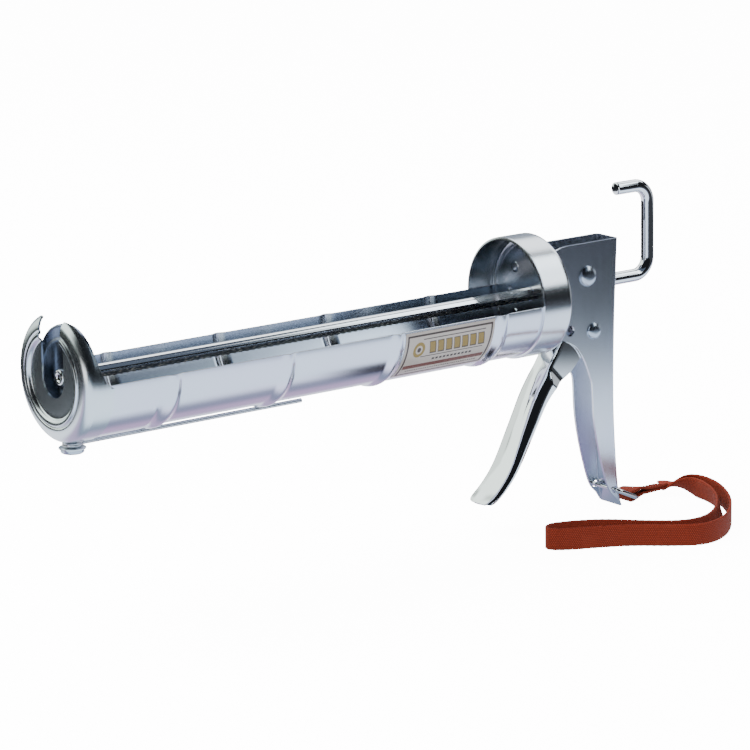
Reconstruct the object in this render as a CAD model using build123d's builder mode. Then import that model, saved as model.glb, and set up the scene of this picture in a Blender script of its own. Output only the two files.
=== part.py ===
"""Half-round ratchet caulking gun: sheet-metal cradle, channel handle and hooked push rod.

Millimetres. +X runs from the nozzle end to the handle and +Z points up. The origin is on the
surface below the handle's tip, midway along the gun. Most places are written as a distance
behind the nozzle face and a height from the barrel's axis.
"""
from build123d import *
from math import cos, radians, sin, sqrt, tan
import os

# ---------------------------------------------------------------- driving dimensions
cradle_radius = 25.6        # inside the trough, for a cartridge of 50 mm
sheet = 0.8                 # trough sheet
barrel_length = 255.6       # nozzle face to the collar's disc
handle_drop = 106.0         # barrel axis to the handle's tip

rib_pitch = 57.8
first_rib = 44.5
rib_count = 4
rib_height = 1.2
rib_width = 6.5

cap_sheet = 0.9
cap_skirt = 14.0            # depth of the cap over the trough
slot_radius = 8.25          # for the cartridge's nozzle
collar_sheet = 1.2
collar_depth = 16.0

rod_radius = 3.0
tooth_pitch = 3.2
tooth_depth = 0.8
hook_back = 69.4            # collar's disc to the centre of the rod's upright
hook_rise = 41.8            # barrel axis to the hook's upper leg
hook_reach = 19.7           # upright's centre to the hook's tip
hook_bend = 8.0

channel_width = 15.0
channel_sheet = 1.2
spine_back = 44.4           # collar's disc to the back of the channel, at the barrel's axis
frame_top = 20.8
pivot_back, pivot_z = 30.8, -20.5   # trigger's pivot, behind the disc and from the barrel's axis
guide_back = 27.2           # rivet over the rod
ring_back, ring_z = 43.3, -97.5

grip_step = 0.7             # trigger's grip stands out beyond the channel on each side
trigger_sheet = 1.1
trigger_stroke = 30.0       # degrees

piston_play = 3.8           # trough wall to the piston's rim
fit = 0.05                  # between pieces that are fixed together
running = 0.08              # radial clearance of a shaft in its hole
clear = 0.35                # between pieces that pass each other

# ---------------------------------------------------------------- values that follow
hook_x = barrel_length + hook_back
spine_x = barrel_length + spine_back
pivot_x = barrel_length + pivot_back
guide_x = barrel_length + guide_back
ring_x = barrel_length + ring_back
piston_radius = cradle_radius - piston_play
trigger_width = channel_width + 2 * grip_step
overall_length = hook_x + rod_radius
front = -overall_length / 2
axis_z = handle_drop
trough_radius = cradle_radius + sheet
cap_radius = trough_radius + fit + cap_sheet
collar_radius = trough_radius + fit + collar_sheet
disc_front = barrel_length
disc_back = disc_front + collar_sheet
barrel = Axis((0, 0, axis_z), (1, 0, 0))
axis_plane = Plane.XY.offset(axis_z)
half_channel = channel_width / 2
half_inside = half_channel - channel_sheet
ear_half = half_inside - clear
parts = []


def at(x, z):
    """Place in the side view, from the nozzle face and the barrel's axis."""
    return (front + x, axis_z + z)


def aft(x, z):
    """Place in the side view, from the collar's disc and the barrel's axis."""
    return (front + barrel_length + x, axis_z + z)


def side_plane(y=0.0):
    """Side-view plane at the given distance across the gun; its normal points to -Y."""
    return Plane((0, y, 0), x_dir=(1, 0, 0), z_dir=(0, -1, 0))


def cross_plane(x):
    """Plane across the barrel, x behind the nozzle face, centred on the axis, facing +X."""
    return Plane((front + x, 0, axis_z), x_dir=(0, 1, 0), z_dir=(1, 0, 0))


def keep(builder, name):
    """Label a finished piece, put it on the list and write its file."""
    builder.part.label = name
    parts.append(builder.part)
    export_step(builder.part, f"parts/{name}.step")


os.makedirs("parts", exist_ok=True)

# ---------------------------------------------------------------- cradle
trough_start = 6.4          # just behind the cap's sloping face
trough_end = disc_front
rib_places = [first_rib + i * rib_pitch for i in range(rib_count)]


def trough_chain(radius):
    """Half-section line of the trough at a radius, with its ribs standing outwards."""
    chain = [(front + trough_start, -radius)]
    for place in rib_places:
        chain.append((front + place - rib_width / 2, -radius))
        chain.append((front + place - rib_width / 5, -radius - rib_height))
        chain.append((front + place + rib_width / 5, -radius - rib_height))
        chain.append((front + place + rib_width / 2, -radius))
    chain.append((front + trough_end, -radius))
    return chain


panel_end = 38.0            # shallow raised panel between the cap and the first rib
panel_height = 0.5
with BuildPart() as cradle:
    with BuildSketch(axis_plane):
        with BuildLine():
            Polyline(*trough_chain(trough_radius), *reversed(trough_chain(cradle_radius)), close=True)
        make_face()
    revolve(axis=barrel, revolution_arc=180)
    panel_start = cap_skirt + 2
    with BuildSketch(axis_plane.rotated((25, 0, 0))):
        with Locations((front + (panel_start + panel_end) / 2, -trough_radius - panel_height / 2 + 0.1)):
            Rectangle(panel_end - panel_start, panel_height + 0.2)
    revolve(axis=barrel, revolution_arc=130)
    punch_hole_x = 9.8
    with Locations(Location((front + punch_hole_x, 0, axis_z - trough_radius))):
        Cylinder(2.0 + fit, 6, mode=Mode.SUBTRACT)
keep(cradle, "cradle")

# ---------------------------------------------------------------- front cap
recess_radius = cap_radius - 10.75
bead_radius = cap_radius - 8.1
cap_slope = [
    (1.6, slot_radius - 1.5), (1.6, recess_radius), (0.9, recess_radius + 1.0), (0.0, bead_radius - 0.65),
    (0.0, bead_radius + 0.65), (1.0, bead_radius + 1.35), (1.2, bead_radius + 1.95), (3.0, cap_radius - 2.35),
    (4.4, cap_radius - 0.75), (6.0, cap_radius), (cap_skirt, cap_radius),
]
with BuildPart() as front_cap:
    with BuildSketch(axis_plane):
        with BuildLine():
            Polyline(*[(front + x, -r) for x, r in cap_slope])
            offset(amount=cap_sheet, side=Side.LEFT)
        make_face()
    revolve(axis=barrel)
    with BuildSketch(cross_plane(-1)):
        Circle(slot_radius)
        with Locations((0, cap_radius)):
            Rectangle(2 * slot_radius, 2 * cap_radius)
    extrude(amount=cap_skirt + 4, mode=Mode.SUBTRACT)
    with BuildSketch(side_plane()):
        with BuildLine():
            Polyline(
                at(5.0, 40), at(5.2, 20.2), at(9.6, 1.0), at(cap_skirt - 2.2, 0.8), at(cap_skirt - 1.4, -1.2),
                at(cap_skirt + 3, -1.2), at(cap_skirt + 3, 40), close=True,
            )
        make_face()
    extrude(amount=cap_radius + 2, both=True, mode=Mode.SUBTRACT)
    with Locations(Location((front + punch_hole_x, 0, axis_z - cap_radius))):
        Cylinder(2.0 + fit, 6, mode=Mode.SUBTRACT)
keep(front_cap, "front_cap")

# ---------------------------------------------------------------- seal punch under the barrel
punch_wire = 1.0            # radius
punch_z = -max(cap_radius, trough_radius + rib_height) - clear - punch_wire
punch_shank = 2.0
eye_radius = punch_shank + clear + punch_wire
washer_radius = 5.8
washer_top = punch_z - punch_wire - 0.15
washer_sheet = 0.7
punch_head = 1.9
punch_tip = 126.8
with BuildPart() as seal_punch_rivet:
    shank_top = -cradle_radius + 0.6
    with BuildSketch(Plane.XY.offset(axis_z + washer_top - washer_sheet)):
        with Locations((front + punch_hole_x, 0)):
            Circle(punch_shank)
    extrude(amount=shank_top - washer_top + washer_sheet)
    with BuildSketch(Plane.XY.offset(axis_z - cradle_radius + 0.25)):
        with Locations((front + punch_hole_x, 0)):
            Circle(3.2)
    extrude(amount=0.7)
    with BuildSketch(Plane.XY.offset(axis_z + washer_top - washer_sheet)):
        with Locations((front + punch_hole_x, 0)):
            Circle(5.0)
    extrude(amount=-punch_head)
    chamfer(seal_punch_rivet.faces().sort_by(Axis.Z)[0].edges(), 0.6)
keep(seal_punch_rivet, "seal_punch_rivet")

with BuildPart() as seal_punch_washer:
    with BuildSketch(Plane.XY.offset(axis_z + washer_top)):
        with Locations((front + punch_hole_x, 0)):
            Circle(washer_radius)
            Circle(punch_shank + running, mode=Mode.SUBTRACT)
    extrude(amount=-washer_sheet)
keep(seal_punch_washer, "seal_punch_washer")

with BuildPart() as seal_punch_wire:
    with BuildSketch(Plane((front + punch_hole_x, 0, axis_z + punch_z), x_dir=(1, 0, 0), z_dir=(0, -1, 0))):
        with Locations((eye_radius, 0)):
            Circle(punch_wire)
    revolve(axis=Axis((front + punch_hole_x, 0, 0), (0, 0, 1)))
    with BuildSketch(Plane((front + punch_hole_x + eye_radius, 0, axis_z + punch_z), z_dir=(1, 0, 0))):
        Circle(punch_wire)
    extrude(amount=punch_tip - punch_hole_x - eye_radius)
    chamfer(seal_punch_wire.faces().sort_by(Axis.X)[-1].edges(), 0.5)
keep(seal_punch_wire, "seal_punch_wire")

# ---------------------------------------------------------------- rear collar
step_radius = cradle_radius - 2.1
step_height = 0.8
rivet_shank = 1.6
rivet_y = half_channel + 3.1
ear_reach = rivet_y + 5.4
ear_height = 2 * sqrt((step_radius - 0.9) ** 2 - ear_reach ** 2)
rivet_z = ear_height / 2 - 5.0
with BuildPart() as rear_collar:
    with BuildSketch(axis_plane):
        with BuildLine():
            Polyline(
                (front + disc_back - collar_depth, -collar_radius + collar_sheet),
                (front + disc_back - collar_depth, -collar_radius),
                (front + disc_back - 0.8, -collar_radius),
                (front + disc_back, -collar_radius + 0.8),
                (front + disc_back, -step_radius),
                (front + disc_back - step_height, -step_radius + step_height),
                (front + disc_back - step_height, 0),
                (front + disc_front - step_height, 0),
                (front + disc_front - step_height, -step_radius + step_height),
                (front + disc_front, -step_radius),
                (front + disc_front, -collar_radius + collar_sheet),
                close=True,
            )
        make_face()
    revolve(axis=barrel)
    with BuildSketch(cross_plane(disc_front - 4)):
        Circle(rod_radius + running)
        with Locations((rivet_y + 3.5, 0), (-rivet_y - 3.5, 0)):
            Circle(1.6)
        with GridLocations(2 * rivet_y, 2 * rivet_z, 2, 2):
            Circle(rivet_shank + fit)
    extrude(amount=8, mode=Mode.SUBTRACT)
keep(rear_collar, "rear_collar")

# ---------------------------------------------------------------- handle frame
seat_x = disc_back - step_height
ear_back = seat_x + channel_sheet
spine_line = [(spine_x + 1.3, frame_top), (spine_x - 0.4, -18.0), (spine_x - 0.8, -58.0), (spine_x + 1.3, -92.0),
              (spine_x + 3.6, -handle_drop)]
plate_front = [(44.0, -handle_drop + 4.4), (40.7, -98.2), (38.0, -92.0), (33.8, -77.0), (31.0, -62.0), (30.0, -46.1),
               (28.8, -42.0), (25.6, -34.0), (21.4, -27.5), (12.6, -22.6), (ear_back - barrel_length, -21.5),
               (seat_x - barrel_length, -ear_height / 2), (seat_x - barrel_length, ear_height / 2), (8.9, 19.6),
               (15.4, frame_top)]
with BuildPart() as handle_frame:
    with BuildSketch(side_plane()):
        with BuildLine():
            spine_edge = Spline(*[at(*p) for p in spine_line])
            Polyline(spine_edge @ 1, *[aft(*p) for p in plate_front], spine_edge @ 0)
        make_face()
    extrude(amount=half_channel, both=True)
    back_edges = handle_frame.edges().filter_by(lambda e: e.length > 0.9 * handle_drop).group_by(Axis.X)[-1]
    fillet(back_edges, channel_sheet)
    with BuildSketch(side_plane()):
        with BuildLine():
            inner_edge = Spline(*[at(x - channel_sheet, z) for x, z in spine_line])
            Polyline(
                inner_edge @ 1, at(spine_x - 8, -handle_drop - 6), at(seat_x - 4, -handle_drop - 6),
                at(seat_x - 4, frame_top + 6), at(spine_x, frame_top + 6), inner_edge @ 0,
            )
        make_face()
    extrude(amount=half_inside, both=True, mode=Mode.SUBTRACT)
    with BuildSketch(cross_plane(seat_x)):
        for side in (-1, 1):
            with Locations((side * (half_inside + ear_reach) / 2, 0)):
                RectangleRounded(ear_reach - half_inside, ear_height, 1.1)
    extrude(amount=channel_sheet)
    with BuildSketch(cross_plane(seat_x - 1)):
        with GridLocations(2 * rivet_y, 2 * rivet_z, 2, 2):
            Circle(rivet_shank + fit)
    extrude(amount=4, mode=Mode.SUBTRACT)
    with BuildSketch(cross_plane(spine_x - 8)):
        Circle(rod_radius + running)
    extrude(amount=12, mode=Mode.SUBTRACT)
    rivet_bore = 2.4
    guide_z = rod_radius + 0.12 + rivet_bore
    cutter_x, cutter_z, cutter_radius = barrel_length + 16.7, -18.6, 2.5
    with BuildSketch(side_plane()):
        with Locations(at(pivot_x, pivot_z), at(guide_x, guide_z)):
            Circle(rivet_bore + fit / 2)
        with Locations(at(cutter_x, cutter_z)):
            Circle(cutter_radius)
        with Locations(at(ring_x, ring_z)):
            Circle(1.1 + running)
    extrude(amount=channel_width, both=True, mode=Mode.SUBTRACT)
keep(handle_frame, "handle_frame")

# ---------------------------------------------------------------- rivets of the frame
with BuildPart() as collar_rivets:
    with BuildSketch(cross_plane(seat_x - collar_sheet)):
        with GridLocations(2 * rivet_y, 2 * rivet_z, 2, 2):
            Circle(rivet_shank)
    extrude(amount=collar_sheet + channel_sheet)
    with BuildSketch(cross_plane(seat_x - collar_sheet)):
        with GridLocations(2 * rivet_y, 2 * rivet_z, 2, 2):
            Circle(rivet_shank * 1.75)
    extrude(amount=-0.5)
    with BuildSketch(cross_plane(ear_back)):
        with GridLocations(2 * rivet_y, 2 * rivet_z, 2, 2):
            Circle(rivet_shank * 1.75)
    extrude(amount=0.9, taper=20)
keep(collar_rivets, "collar_rivets")


def dome_rivet(x, z, head_radius, head_height):
    """Half-section of a rivet across the channel: shank and a domed head on each side."""
    with BuildPart() as rivet:
        with BuildSketch(side_plane()):
            with Locations(at(x, z)):
                Circle(rivet_bore)
        extrude(amount=half_channel, both=True)
        for side in (-1, 1):
            with BuildSketch(Plane((front + x, side * half_channel, axis_z + z), x_dir=(1, 0, 0),
                                   z_dir=(0, side, 0))):
                Circle(head_radius)
            extrude(amount=head_height, taper=28)
        crown = rivet.edges().filter_by(GeomType.CIRCLE)
        fillet([crown.sort_by(Axis.Y)[0], crown.sort_by(Axis.Y)[-1]], head_height * 0.45)
    return rivet


trigger_pivot_rivet = dome_rivet(pivot_x, pivot_z, 3.9, 1.7)
keep(trigger_pivot_rivet, "trigger_pivot_rivet")
rod_guide_rivet = dome_rivet(guide_x, guide_z, 4.75, 2.0)
keep(rod_guide_rivet, "rod_guide_rivet")

# ---------------------------------------------------------------- push rod
plate_seat = 7.8            # where the rod's end meets the piston
rivet_pin = 1.9
tooth_first = 22.0
tooth_last = barrel_length + 36.4
with BuildPart() as push_rod:
    with BuildLine(side_plane()):
        FilletPolyline(
            at(plate_seat, 0), at(hook_x, 0), at(hook_x, hook_rise), at(hook_x - hook_reach, hook_rise),
            radius=hook_bend,
        )
    with BuildSketch(cross_plane(plate_seat)):
        Circle(rod_radius)
    sweep()
    tooth_count = int((tooth_last - tooth_first) / tooth_pitch)
    saw = []
    for i in range(tooth_count):
        crest = tooth_first + i * tooth_pitch
        saw.append(at(crest, -rod_radius - 0.1))
        saw.append(at(crest + 0.15, -rod_radius + tooth_depth))
    saw.append(at(tooth_first + tooth_count * tooth_pitch, -rod_radius - 0.1))
    with BuildSketch(side_plane()):
        with BuildLine():
            Polyline(*saw, close=True)
        make_face()
    extrude(amount=rod_radius, both=True, mode=Mode.SUBTRACT)
    with BuildSketch(cross_plane(plate_seat)):
        Circle(rivet_pin + fit / 2)
    extrude(amount=9, mode=Mode.SUBTRACT)
    fillet(push_rod.faces().sort_by(Axis.Z)[-8:].edges().filter_by(GeomType.CIRCLE).sort_by(Axis.X)[0], 0.8)
keep(push_rod, "push_rod")

# ---------------------------------------------------------------- piston
plate_front_x = 5.3
plate_sheet = 1.0
dish_radius = piston_radius - 6.8
dish_depth = 2.2
lip_depth = 3.0
with BuildPart() as piston_plate:
    with BuildSketch(axis_plane):
        with BuildLine():
            Polyline(
                (front + plate_front_x, -rivet_pin - running), (front + plate_front_x, -dish_radius),
                (front + plate_front_x + dish_depth, -dish_radius - 1.6),
                (front + plate_front_x + dish_depth, -piston_radius + 0.8),
                (front + plate_front_x + dish_depth + 0.8, -piston_radius),
                (front + plate_front_x + dish_depth + lip_depth, -piston_radius),
            )
            offset(amount=plate_sheet, side=Side.LEFT)
        make_face()
    revolve(axis=barrel)
keep(piston_plate, "piston_plate")

with BuildPart() as piston_backing_plate:
    backing_x = plate_front_x + plate_sheet + fit
    with BuildSketch(cross_plane(backing_x)):
        Circle(dish_radius - 3.0)
        Circle(rivet_pin + running, mode=Mode.SUBTRACT)
    extrude(amount=plate_seat - backing_x - fit)
keep(piston_backing_plate, "piston_backing_plate")

with BuildPart() as piston_rivet:
    with BuildSketch(cross_plane(plate_front_x - fit)):
        Circle(3.5)
    extrude(amount=-1.2)
    fillet(piston_rivet.faces().sort_by(Axis.X)[0].edges(), 0.5)
    with BuildSketch(cross_plane(plate_front_x - fit)):
        Circle(rivet_pin)
    extrude(amount=9.5)
    with BuildSketch(cross_plane(plate_front_x - 1.3)):
        Circle(1.2)
    extrude(amount=4.5, mode=Mode.SUBTRACT)
keep(piston_rivet, "piston_rivet")

# ---------------------------------------------------------------- trigger
pin_reach = 9.2
pin_lead = trigger_stroke / 2
pin_x = pivot_x + pin_reach * sin(radians(pin_lead))
pin_z = pivot_z + pin_reach * cos(radians(pin_lead))
pin_radius = 1.5
front_line = [(13.0, -22.9), (6.0, -33.6), (-2.4, -46.0), (-9.6, -60.5), (-17.4, -76.6), (-24.6, -85.6),
              (-32.2, -91.9)]
rear_line = [(-29.2, -92.6), (-20.8, -85.8), (-13.0, -76.2), (-1.0, -55.6), (3.8, -48.6), (9.8, -43.0),
             (18.1, -38.1), (23.1, -33.2)]
half_grip = trigger_width / 2


with BuildPart() as trigger:
    with BuildSketch(side_plane()):
        with BuildLine():
            nose = Spline(*[aft(*p) for p in front_line])
            back = Spline(*[aft(*p) for p in rear_line])
            Polyline(nose @ 1, back @ 0)
            Polyline(back @ 1, at(pivot_x - 1, pivot_z - 6.2), at(pivot_x + 4.5, pivot_z - 4.0),
                     at(pivot_x + 6.2, pivot_z), at(pin_x + 3.4, pin_z), at(pin_x + 2.4, pin_z + 2.6),
                     at(pin_x - 1.6, pin_z + 3.2), at(pin_x - 3.6, pin_z), at(pivot_x - 7.4, pivot_z + 0.4),
                     at(pivot_x - 11.6, pivot_z - 1.3), nose @ 0)
        make_face()
    extrude(amount=ear_half, both=True)
    with BuildSketch(side_plane()):
        with BuildLine():
            grip_nose = Spline(*[aft(*p) for p in front_line[1:]])
            grip_back = Spline(*[aft(*p) for p in rear_line[:-2]])
            Polyline(grip_nose @ 1, grip_back @ 0)
            Polyline(grip_back @ 1, aft(6.9, -36.0), grip_nose @ 0)
        make_face()
    extrude(amount=half_grip, both=True)
    with BuildSketch(side_plane()):
        with BuildLine():
            hollow_nose = Spline(*[aft(x + trigger_sheet * 0.85, z - trigger_sheet * 0.5) for x, z in front_line])
            Polyline(hollow_nose @ 1, aft(-5.6, -100), aft(54.4, -60), aft(54.4, 10), aft(6.4, 10), hollow_nose @ 0)
        make_face()
    extrude(amount=ear_half - trigger_sheet, both=True, mode=Mode.SUBTRACT)
    with BuildSketch(side_plane()):
        with BuildLine():
            grip_hollow = Spline(*[aft(x + trigger_sheet * 0.85, z - trigger_sheet * 0.5)
                                   for x, z in front_line[1:]])
            Polyline(grip_hollow @ 1, aft(-5.6, -100), aft(20.4, -60), aft(8.9, -38.6), grip_hollow @ 0)
        make_face()
    extrude(amount=half_grip - trigger_sheet, both=True, mode=Mode.SUBTRACT)
    with BuildSketch(side_plane()):
        with Locations(at(pivot_x, pivot_z)):
            Circle(rivet_bore + running)
        with Locations(at(pin_x, pin_z)):
            Circle(pin_radius + fit / 2)
    extrude(amount=channel_width, both=True, mode=Mode.SUBTRACT)
keep(trigger, "trigger")

with BuildPart() as drive_pawl_pin:
    with BuildSketch(side_plane()):
        with Locations(at(pin_x, pin_z)):
            Circle(pin_radius)
    extrude(amount=ear_half, both=True)
    chamfer(drive_pawl_pin.edges().filter_by(GeomType.CIRCLE), 0.25)
keep(drive_pawl_pin, "drive_pawl_pin")

# ---------------------------------------------------------------- drive pawl
pawl_half = 2.4
pin_lift = pin_reach * (1 - cos(radians(pin_lead)))
pawl_top = -rod_radius - clear - pin_lift
with BuildPart() as drive_pawl:
    with BuildSketch(side_plane()):
        with BuildLine():
            Polyline(at(pin_x + 2.6, pin_z - 1.4), at(pin_x + 2.9, pin_z + 1.4), at(pin_x + 0.6, pin_z + 3.3),
                     at(pin_x - 4.2, pawl_top), at(pin_x - 5.6, pawl_top), at(pin_x - 5.0, pin_z + 4.0),
                     at(pin_x - 2.9, pin_z - 0.4), at(pin_x - 1.2, pin_z - 2.6), at(pin_x + 1.2, pin_z - 2.8),
                     close=True)
        make_face()
        with Locations(at(pin_x, pin_z)):
            Circle(pin_radius + running, mode=Mode.SUBTRACT)
    extrude(amount=pawl_half, both=True)
keep(drive_pawl, "drive_pawl")

# ---------------------------------------------------------------- holding catch
catch_half = ear_half - trigger_sheet - clear
catch_sheet = 1.1
catch_top = -rod_radius - clear
catch_tip = barrel_length + 19.0
with BuildPart() as holding_catch:
    with BuildSketch(side_plane()):
        with BuildLine():
            Polyline(at(pivot_x + 3.6, pivot_z - 1.5), at(pivot_x + 3.0, pivot_z + 2.6),
                     at(pivot_x - 1.0, pivot_z + 3.9), at(pivot_x - 5.6, pivot_z + 4.3),
                     at(catch_tip + 2.6, -9.0), at(catch_tip + 1.9, catch_top), at(catch_tip, catch_top),
                     at(catch_tip - 0.6, -9.4), at(catch_tip + 2.8, pivot_z + 3.4),
                     at(pivot_x - 4.4, pivot_z - 0.6), at(pivot_x - 1.0, pivot_z - 3.8),
                     at(pivot_x + 1.6, pivot_z - 3.6), close=True)
        make_face()
    extrude(amount=catch_half, both=True)
    with BuildSketch(side_plane()):
        with BuildLine():
            Polyline(at(catch_tip + 3.4, 0), at(catch_tip + 3.4, -8.2), at(catch_tip - 6, -12.0),
                     at(catch_tip - 6, -40.0), at(pivot_x + 12, -40.0), at(pivot_x + 12, 0), close=True)
        make_face()
    extrude(amount=catch_half - catch_sheet, both=True, mode=Mode.SUBTRACT)
    with BuildSketch(side_plane()):
        with Locations(at(pivot_x, pivot_z)):
            Circle(rivet_bore + running)
    extrude(amount=channel_width, both=True, mode=Mode.SUBTRACT)
keep(holding_catch, "holding_catch")

# ---------------------------------------------------------------- springs
def torsion_spring(x, z, coil_radius, wire, first_y, turns, pitch, leg_ends):
    """Coil about a cross pin; straight legs leave its top, forwards and backwards, for places (x, z)."""
    with BuildPart() as spring:
        with BuildLine():
            turn = Helix(pitch=pitch, height=turns * pitch, radius=coil_radius,
                         center=(front + x, first_y, axis_z + z), direction=(0, 1, 0))
        with BuildSketch(Plane(turn @ 0, z_dir=turn % 0)):
            Circle(wire)
        sweep(path=turn, is_frenet=True)
        for start, end in zip((turn @ 0, turn @ 1), leg_ends):
            tip = Vector(front + end[0], start.Y, axis_z + end[1])
            with BuildSketch(Plane(start, z_dir=tip - start)):
                Circle(wire)
            extrude(amount=(tip - start).length)
    return spring


return_wire = 0.5           # radius
return_coil = rivet_bore + 0.4 + return_wire
trigger_return_spring = torsion_spring(
    pivot_x, pivot_z, return_coil, return_wire, -1.9, 3, 1.25,
    ((pivot_x - 14.6, pivot_z - 4.2), (spine_x - channel_sheet - 1.4, pivot_z + return_coil)),
)
keep(trigger_return_spring, "trigger_return_spring")

pawl_wire = 0.3             # radius
pawl_coil = pin_radius + 0.3 + pawl_wire
pawl_spring = torsion_spring(
    pin_x, pin_z, pawl_coil, pawl_wire, pawl_half + clear + pawl_wire, 2, 0.65,
    ((pin_x - 4.0, pin_z + 2.6), (pin_x + 4.2, pin_z + 0.8)),
)
keep(pawl_spring, "pawl_spring")

catch_wire = 0.3            # radius
catch_spring_z = pivot_z - 2.2
catch_spring_start = pivot_x + 3.6 + 0.5 + catch_wire
catch_spring_length = spine_x - channel_sheet - 1.0 - catch_wire - catch_spring_start
with BuildPart() as catch_spring:
    with BuildLine():
        coil = Helix(pitch=catch_spring_length / 5, height=catch_spring_length, radius=1.7,
                     center=(front + catch_spring_start, 0, axis_z + catch_spring_z), direction=(1, 0, 0))
    with BuildSketch(Plane(coil @ 0, z_dir=coil % 0)):
        Circle(catch_wire)
    sweep(path=coil, is_frenet=True)
keep(catch_spring, "catch_spring")

# ---------------------------------------------------------------- label
label_gap = 4.3             # from a rib's middle
label_sheet = 0.15
label_top, label_arc = 2.0, 55.0
label_length = rib_pitch - 2 * label_gap
with BuildPart() as label:
    with BuildSketch(axis_plane.rotated((label_top, 0, 0))):
        with Locations((front + first_rib + 2.5 * rib_pitch, -trough_radius - label_sheet / 2)):
            Rectangle(label_length, label_sheet)
    revolve(axis=barrel, revolution_arc=label_arc)
keep(label, "label")

# ---------------------------------------------------------------- lanyard ring
ring_wire = 1.1             # radius
ring_width = channel_width + 5.4
ring_depth = 12.4
ring_dip = radians(25.0)
ring_plane = Plane((front + ring_x, 0, axis_z + ring_z), x_dir=(cos(ring_dip), 0, -sin(ring_dip)),
                   z_dir=(sin(ring_dip), 0, cos(ring_dip)))
with BuildPart() as lanyard_ring:
    with BuildLine(ring_plane):
        ring_line = FilletPolyline(
            (0, ring_width / 2), (ring_depth, ring_width / 2), (ring_depth, -ring_width / 2), (0, -ring_width / 2),
            radius=2.4, close=True,
        )
    with BuildSketch(Plane(ring_line @ 0, z_dir=ring_line % 0)):
        Circle(ring_wire)
    sweep()
keep(lanyard_ring, "lanyard_ring")

# ---------------------------------------------------------------- lanyard strap
strap_width = 10.0
strap_sheet = 1.5
strap_y = -2.5              # middle of the strap on the ring's bar
sewn_length = 21.0
floor_gap = 0.1
bar_x = ring_x + ring_depth * cos(ring_dip)
bar_z = ring_z - ring_depth * sin(ring_dip)
wrap_inner = ring_wire + clear
wrap_outer = wrap_inner + strap_sheet
stack_top = -wrap_outer + 3 * strap_sheet
with BuildPart() as strap_sewn_end:
    with BuildSketch(Plane((front + bar_x, strap_y, axis_z + bar_z), x_dir=(1, 0, 0), z_dir=(0, -1, 0))):
        with BuildLine():
            Polyline((0, wrap_outer), (7.0, stack_top), (sewn_length, stack_top), (sewn_length, -wrap_outer),
                     (0, -wrap_outer))
            ThreePointArc((0, -wrap_outer), (-wrap_outer, 0), (0, wrap_outer))
        make_face()
        with BuildLine(mode=Mode.PRIVATE) as eye_line:
            Polyline((0, wrap_inner), (5.2, -0.6), (0, -wrap_inner))
            ThreePointArc((0, -wrap_inner), (-wrap_inner, 0), (0, wrap_inner))
        make_face(eye_line.edges(), mode=Mode.SUBTRACT)
    extrude(amount=strap_width / 2, both=True)
keep(strap_sewn_end, "strap_sewn_end")

# Plan places of the hand loop, x behind the collar's disc and y: out of the sewn end along the outer
# layer, round the far turn and back along the inner layer.
sewn_face = bar_x + sewn_length
loop_places = [
    (sewn_face + 0.6 - barrel_length, strap_y + 1.4), (87.4, -9.0), (89.4, -25.0), (80.4, -44.5), (65.9, -62.5), (48.9, -77.5),
    (32.4, -82.5), (18.9, -73.0), (6.4, -61.5), (-8.1, -54.0), (-20.6, -48.5), (-27.1, -42.5), (-21.1, -36.0),
    (-9.6, -39.5), (3.9, -47.0), (15.9, -60.5), (29.4, -71.0), (42.4, -67.5), (53.4, -56.0), (63.4, -41.0),
    (70.9, -27.0), (76.7, -15.0), (76.7, strap_y - 1.6),
]


def corner_radii(places):
    """Largest arc that each corner's two runs leave room for."""
    radii = []
    for before, here, after in zip(places, places[1:], places[2:]):
        run_in = Vector(here[0] - before[0], here[1] - before[1])
        run_out = Vector(after[0] - here[0], after[1] - here[1])
        half_turn = radians(run_in.get_angle(run_out)) / 2
        radii.append(0.45 * min(run_in.length, run_out.length) / tan(half_turn))
    return radii


loop_radii = corner_radii(loop_places)
with BuildPart() as lanyard_strap:
    with BuildLine(Plane.XY.offset(floor_gap + strap_width / 2)):
        route = FilletPolyline(*[(front + barrel_length + x, y) for x, y in loop_places], radius=loop_radii)
    with BuildSketch(Plane(route @ 0, x_dir=(0, 0, 1), z_dir=route % 0)):
        Rectangle(strap_width, strap_sheet)
    sweep()
keep(lanyard_strap, "lanyard_strap")
print("strap route", round(route.length, 1), "mm, radii", [round(r, 1) for r in loop_radii])
print("strap volume over section times length", lanyard_strap.part.volume / (strap_width * strap_sheet * route.length))
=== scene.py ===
"""Half-round ratchet caulking gun: finished pieces, materials, studio and camera.

Places are written in bench millimetres: x behind the nozzle face, y across the gun (the near side
is -y) and z from the barrel's axis. `bench` turns them into the frame's metres.
"""

import logging
from dataclasses import dataclass, field
from enum import Enum
from math import acos, asin, cos, pi, radians, sin, sqrt
from typing import Callable, Sequence

import bmesh
import bpy
import numpy as np
from mathutils import Matrix, Vector


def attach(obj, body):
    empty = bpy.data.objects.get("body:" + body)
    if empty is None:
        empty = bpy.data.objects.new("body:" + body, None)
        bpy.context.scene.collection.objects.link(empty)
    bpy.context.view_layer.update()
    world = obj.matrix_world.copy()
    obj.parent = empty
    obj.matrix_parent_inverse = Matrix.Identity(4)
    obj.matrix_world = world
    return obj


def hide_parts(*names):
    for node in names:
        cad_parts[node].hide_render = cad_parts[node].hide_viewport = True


Finish = bpy.types.Material
Piece = bpy.types.Object
Places = Sequence[Sequence[float]]

LOG = logging.getLogger("caulking_gun")
MM = 0.001
MID_X = 164.0
AXIS_Z = 106.0
ORIGIN = Vector((0, 0, 0))
X_AXIS, Y_AXIS, Z_AXIS = Vector((1, 0, 0)), Vector((0, 1, 0)), Vector((0, 0, 1))

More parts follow.
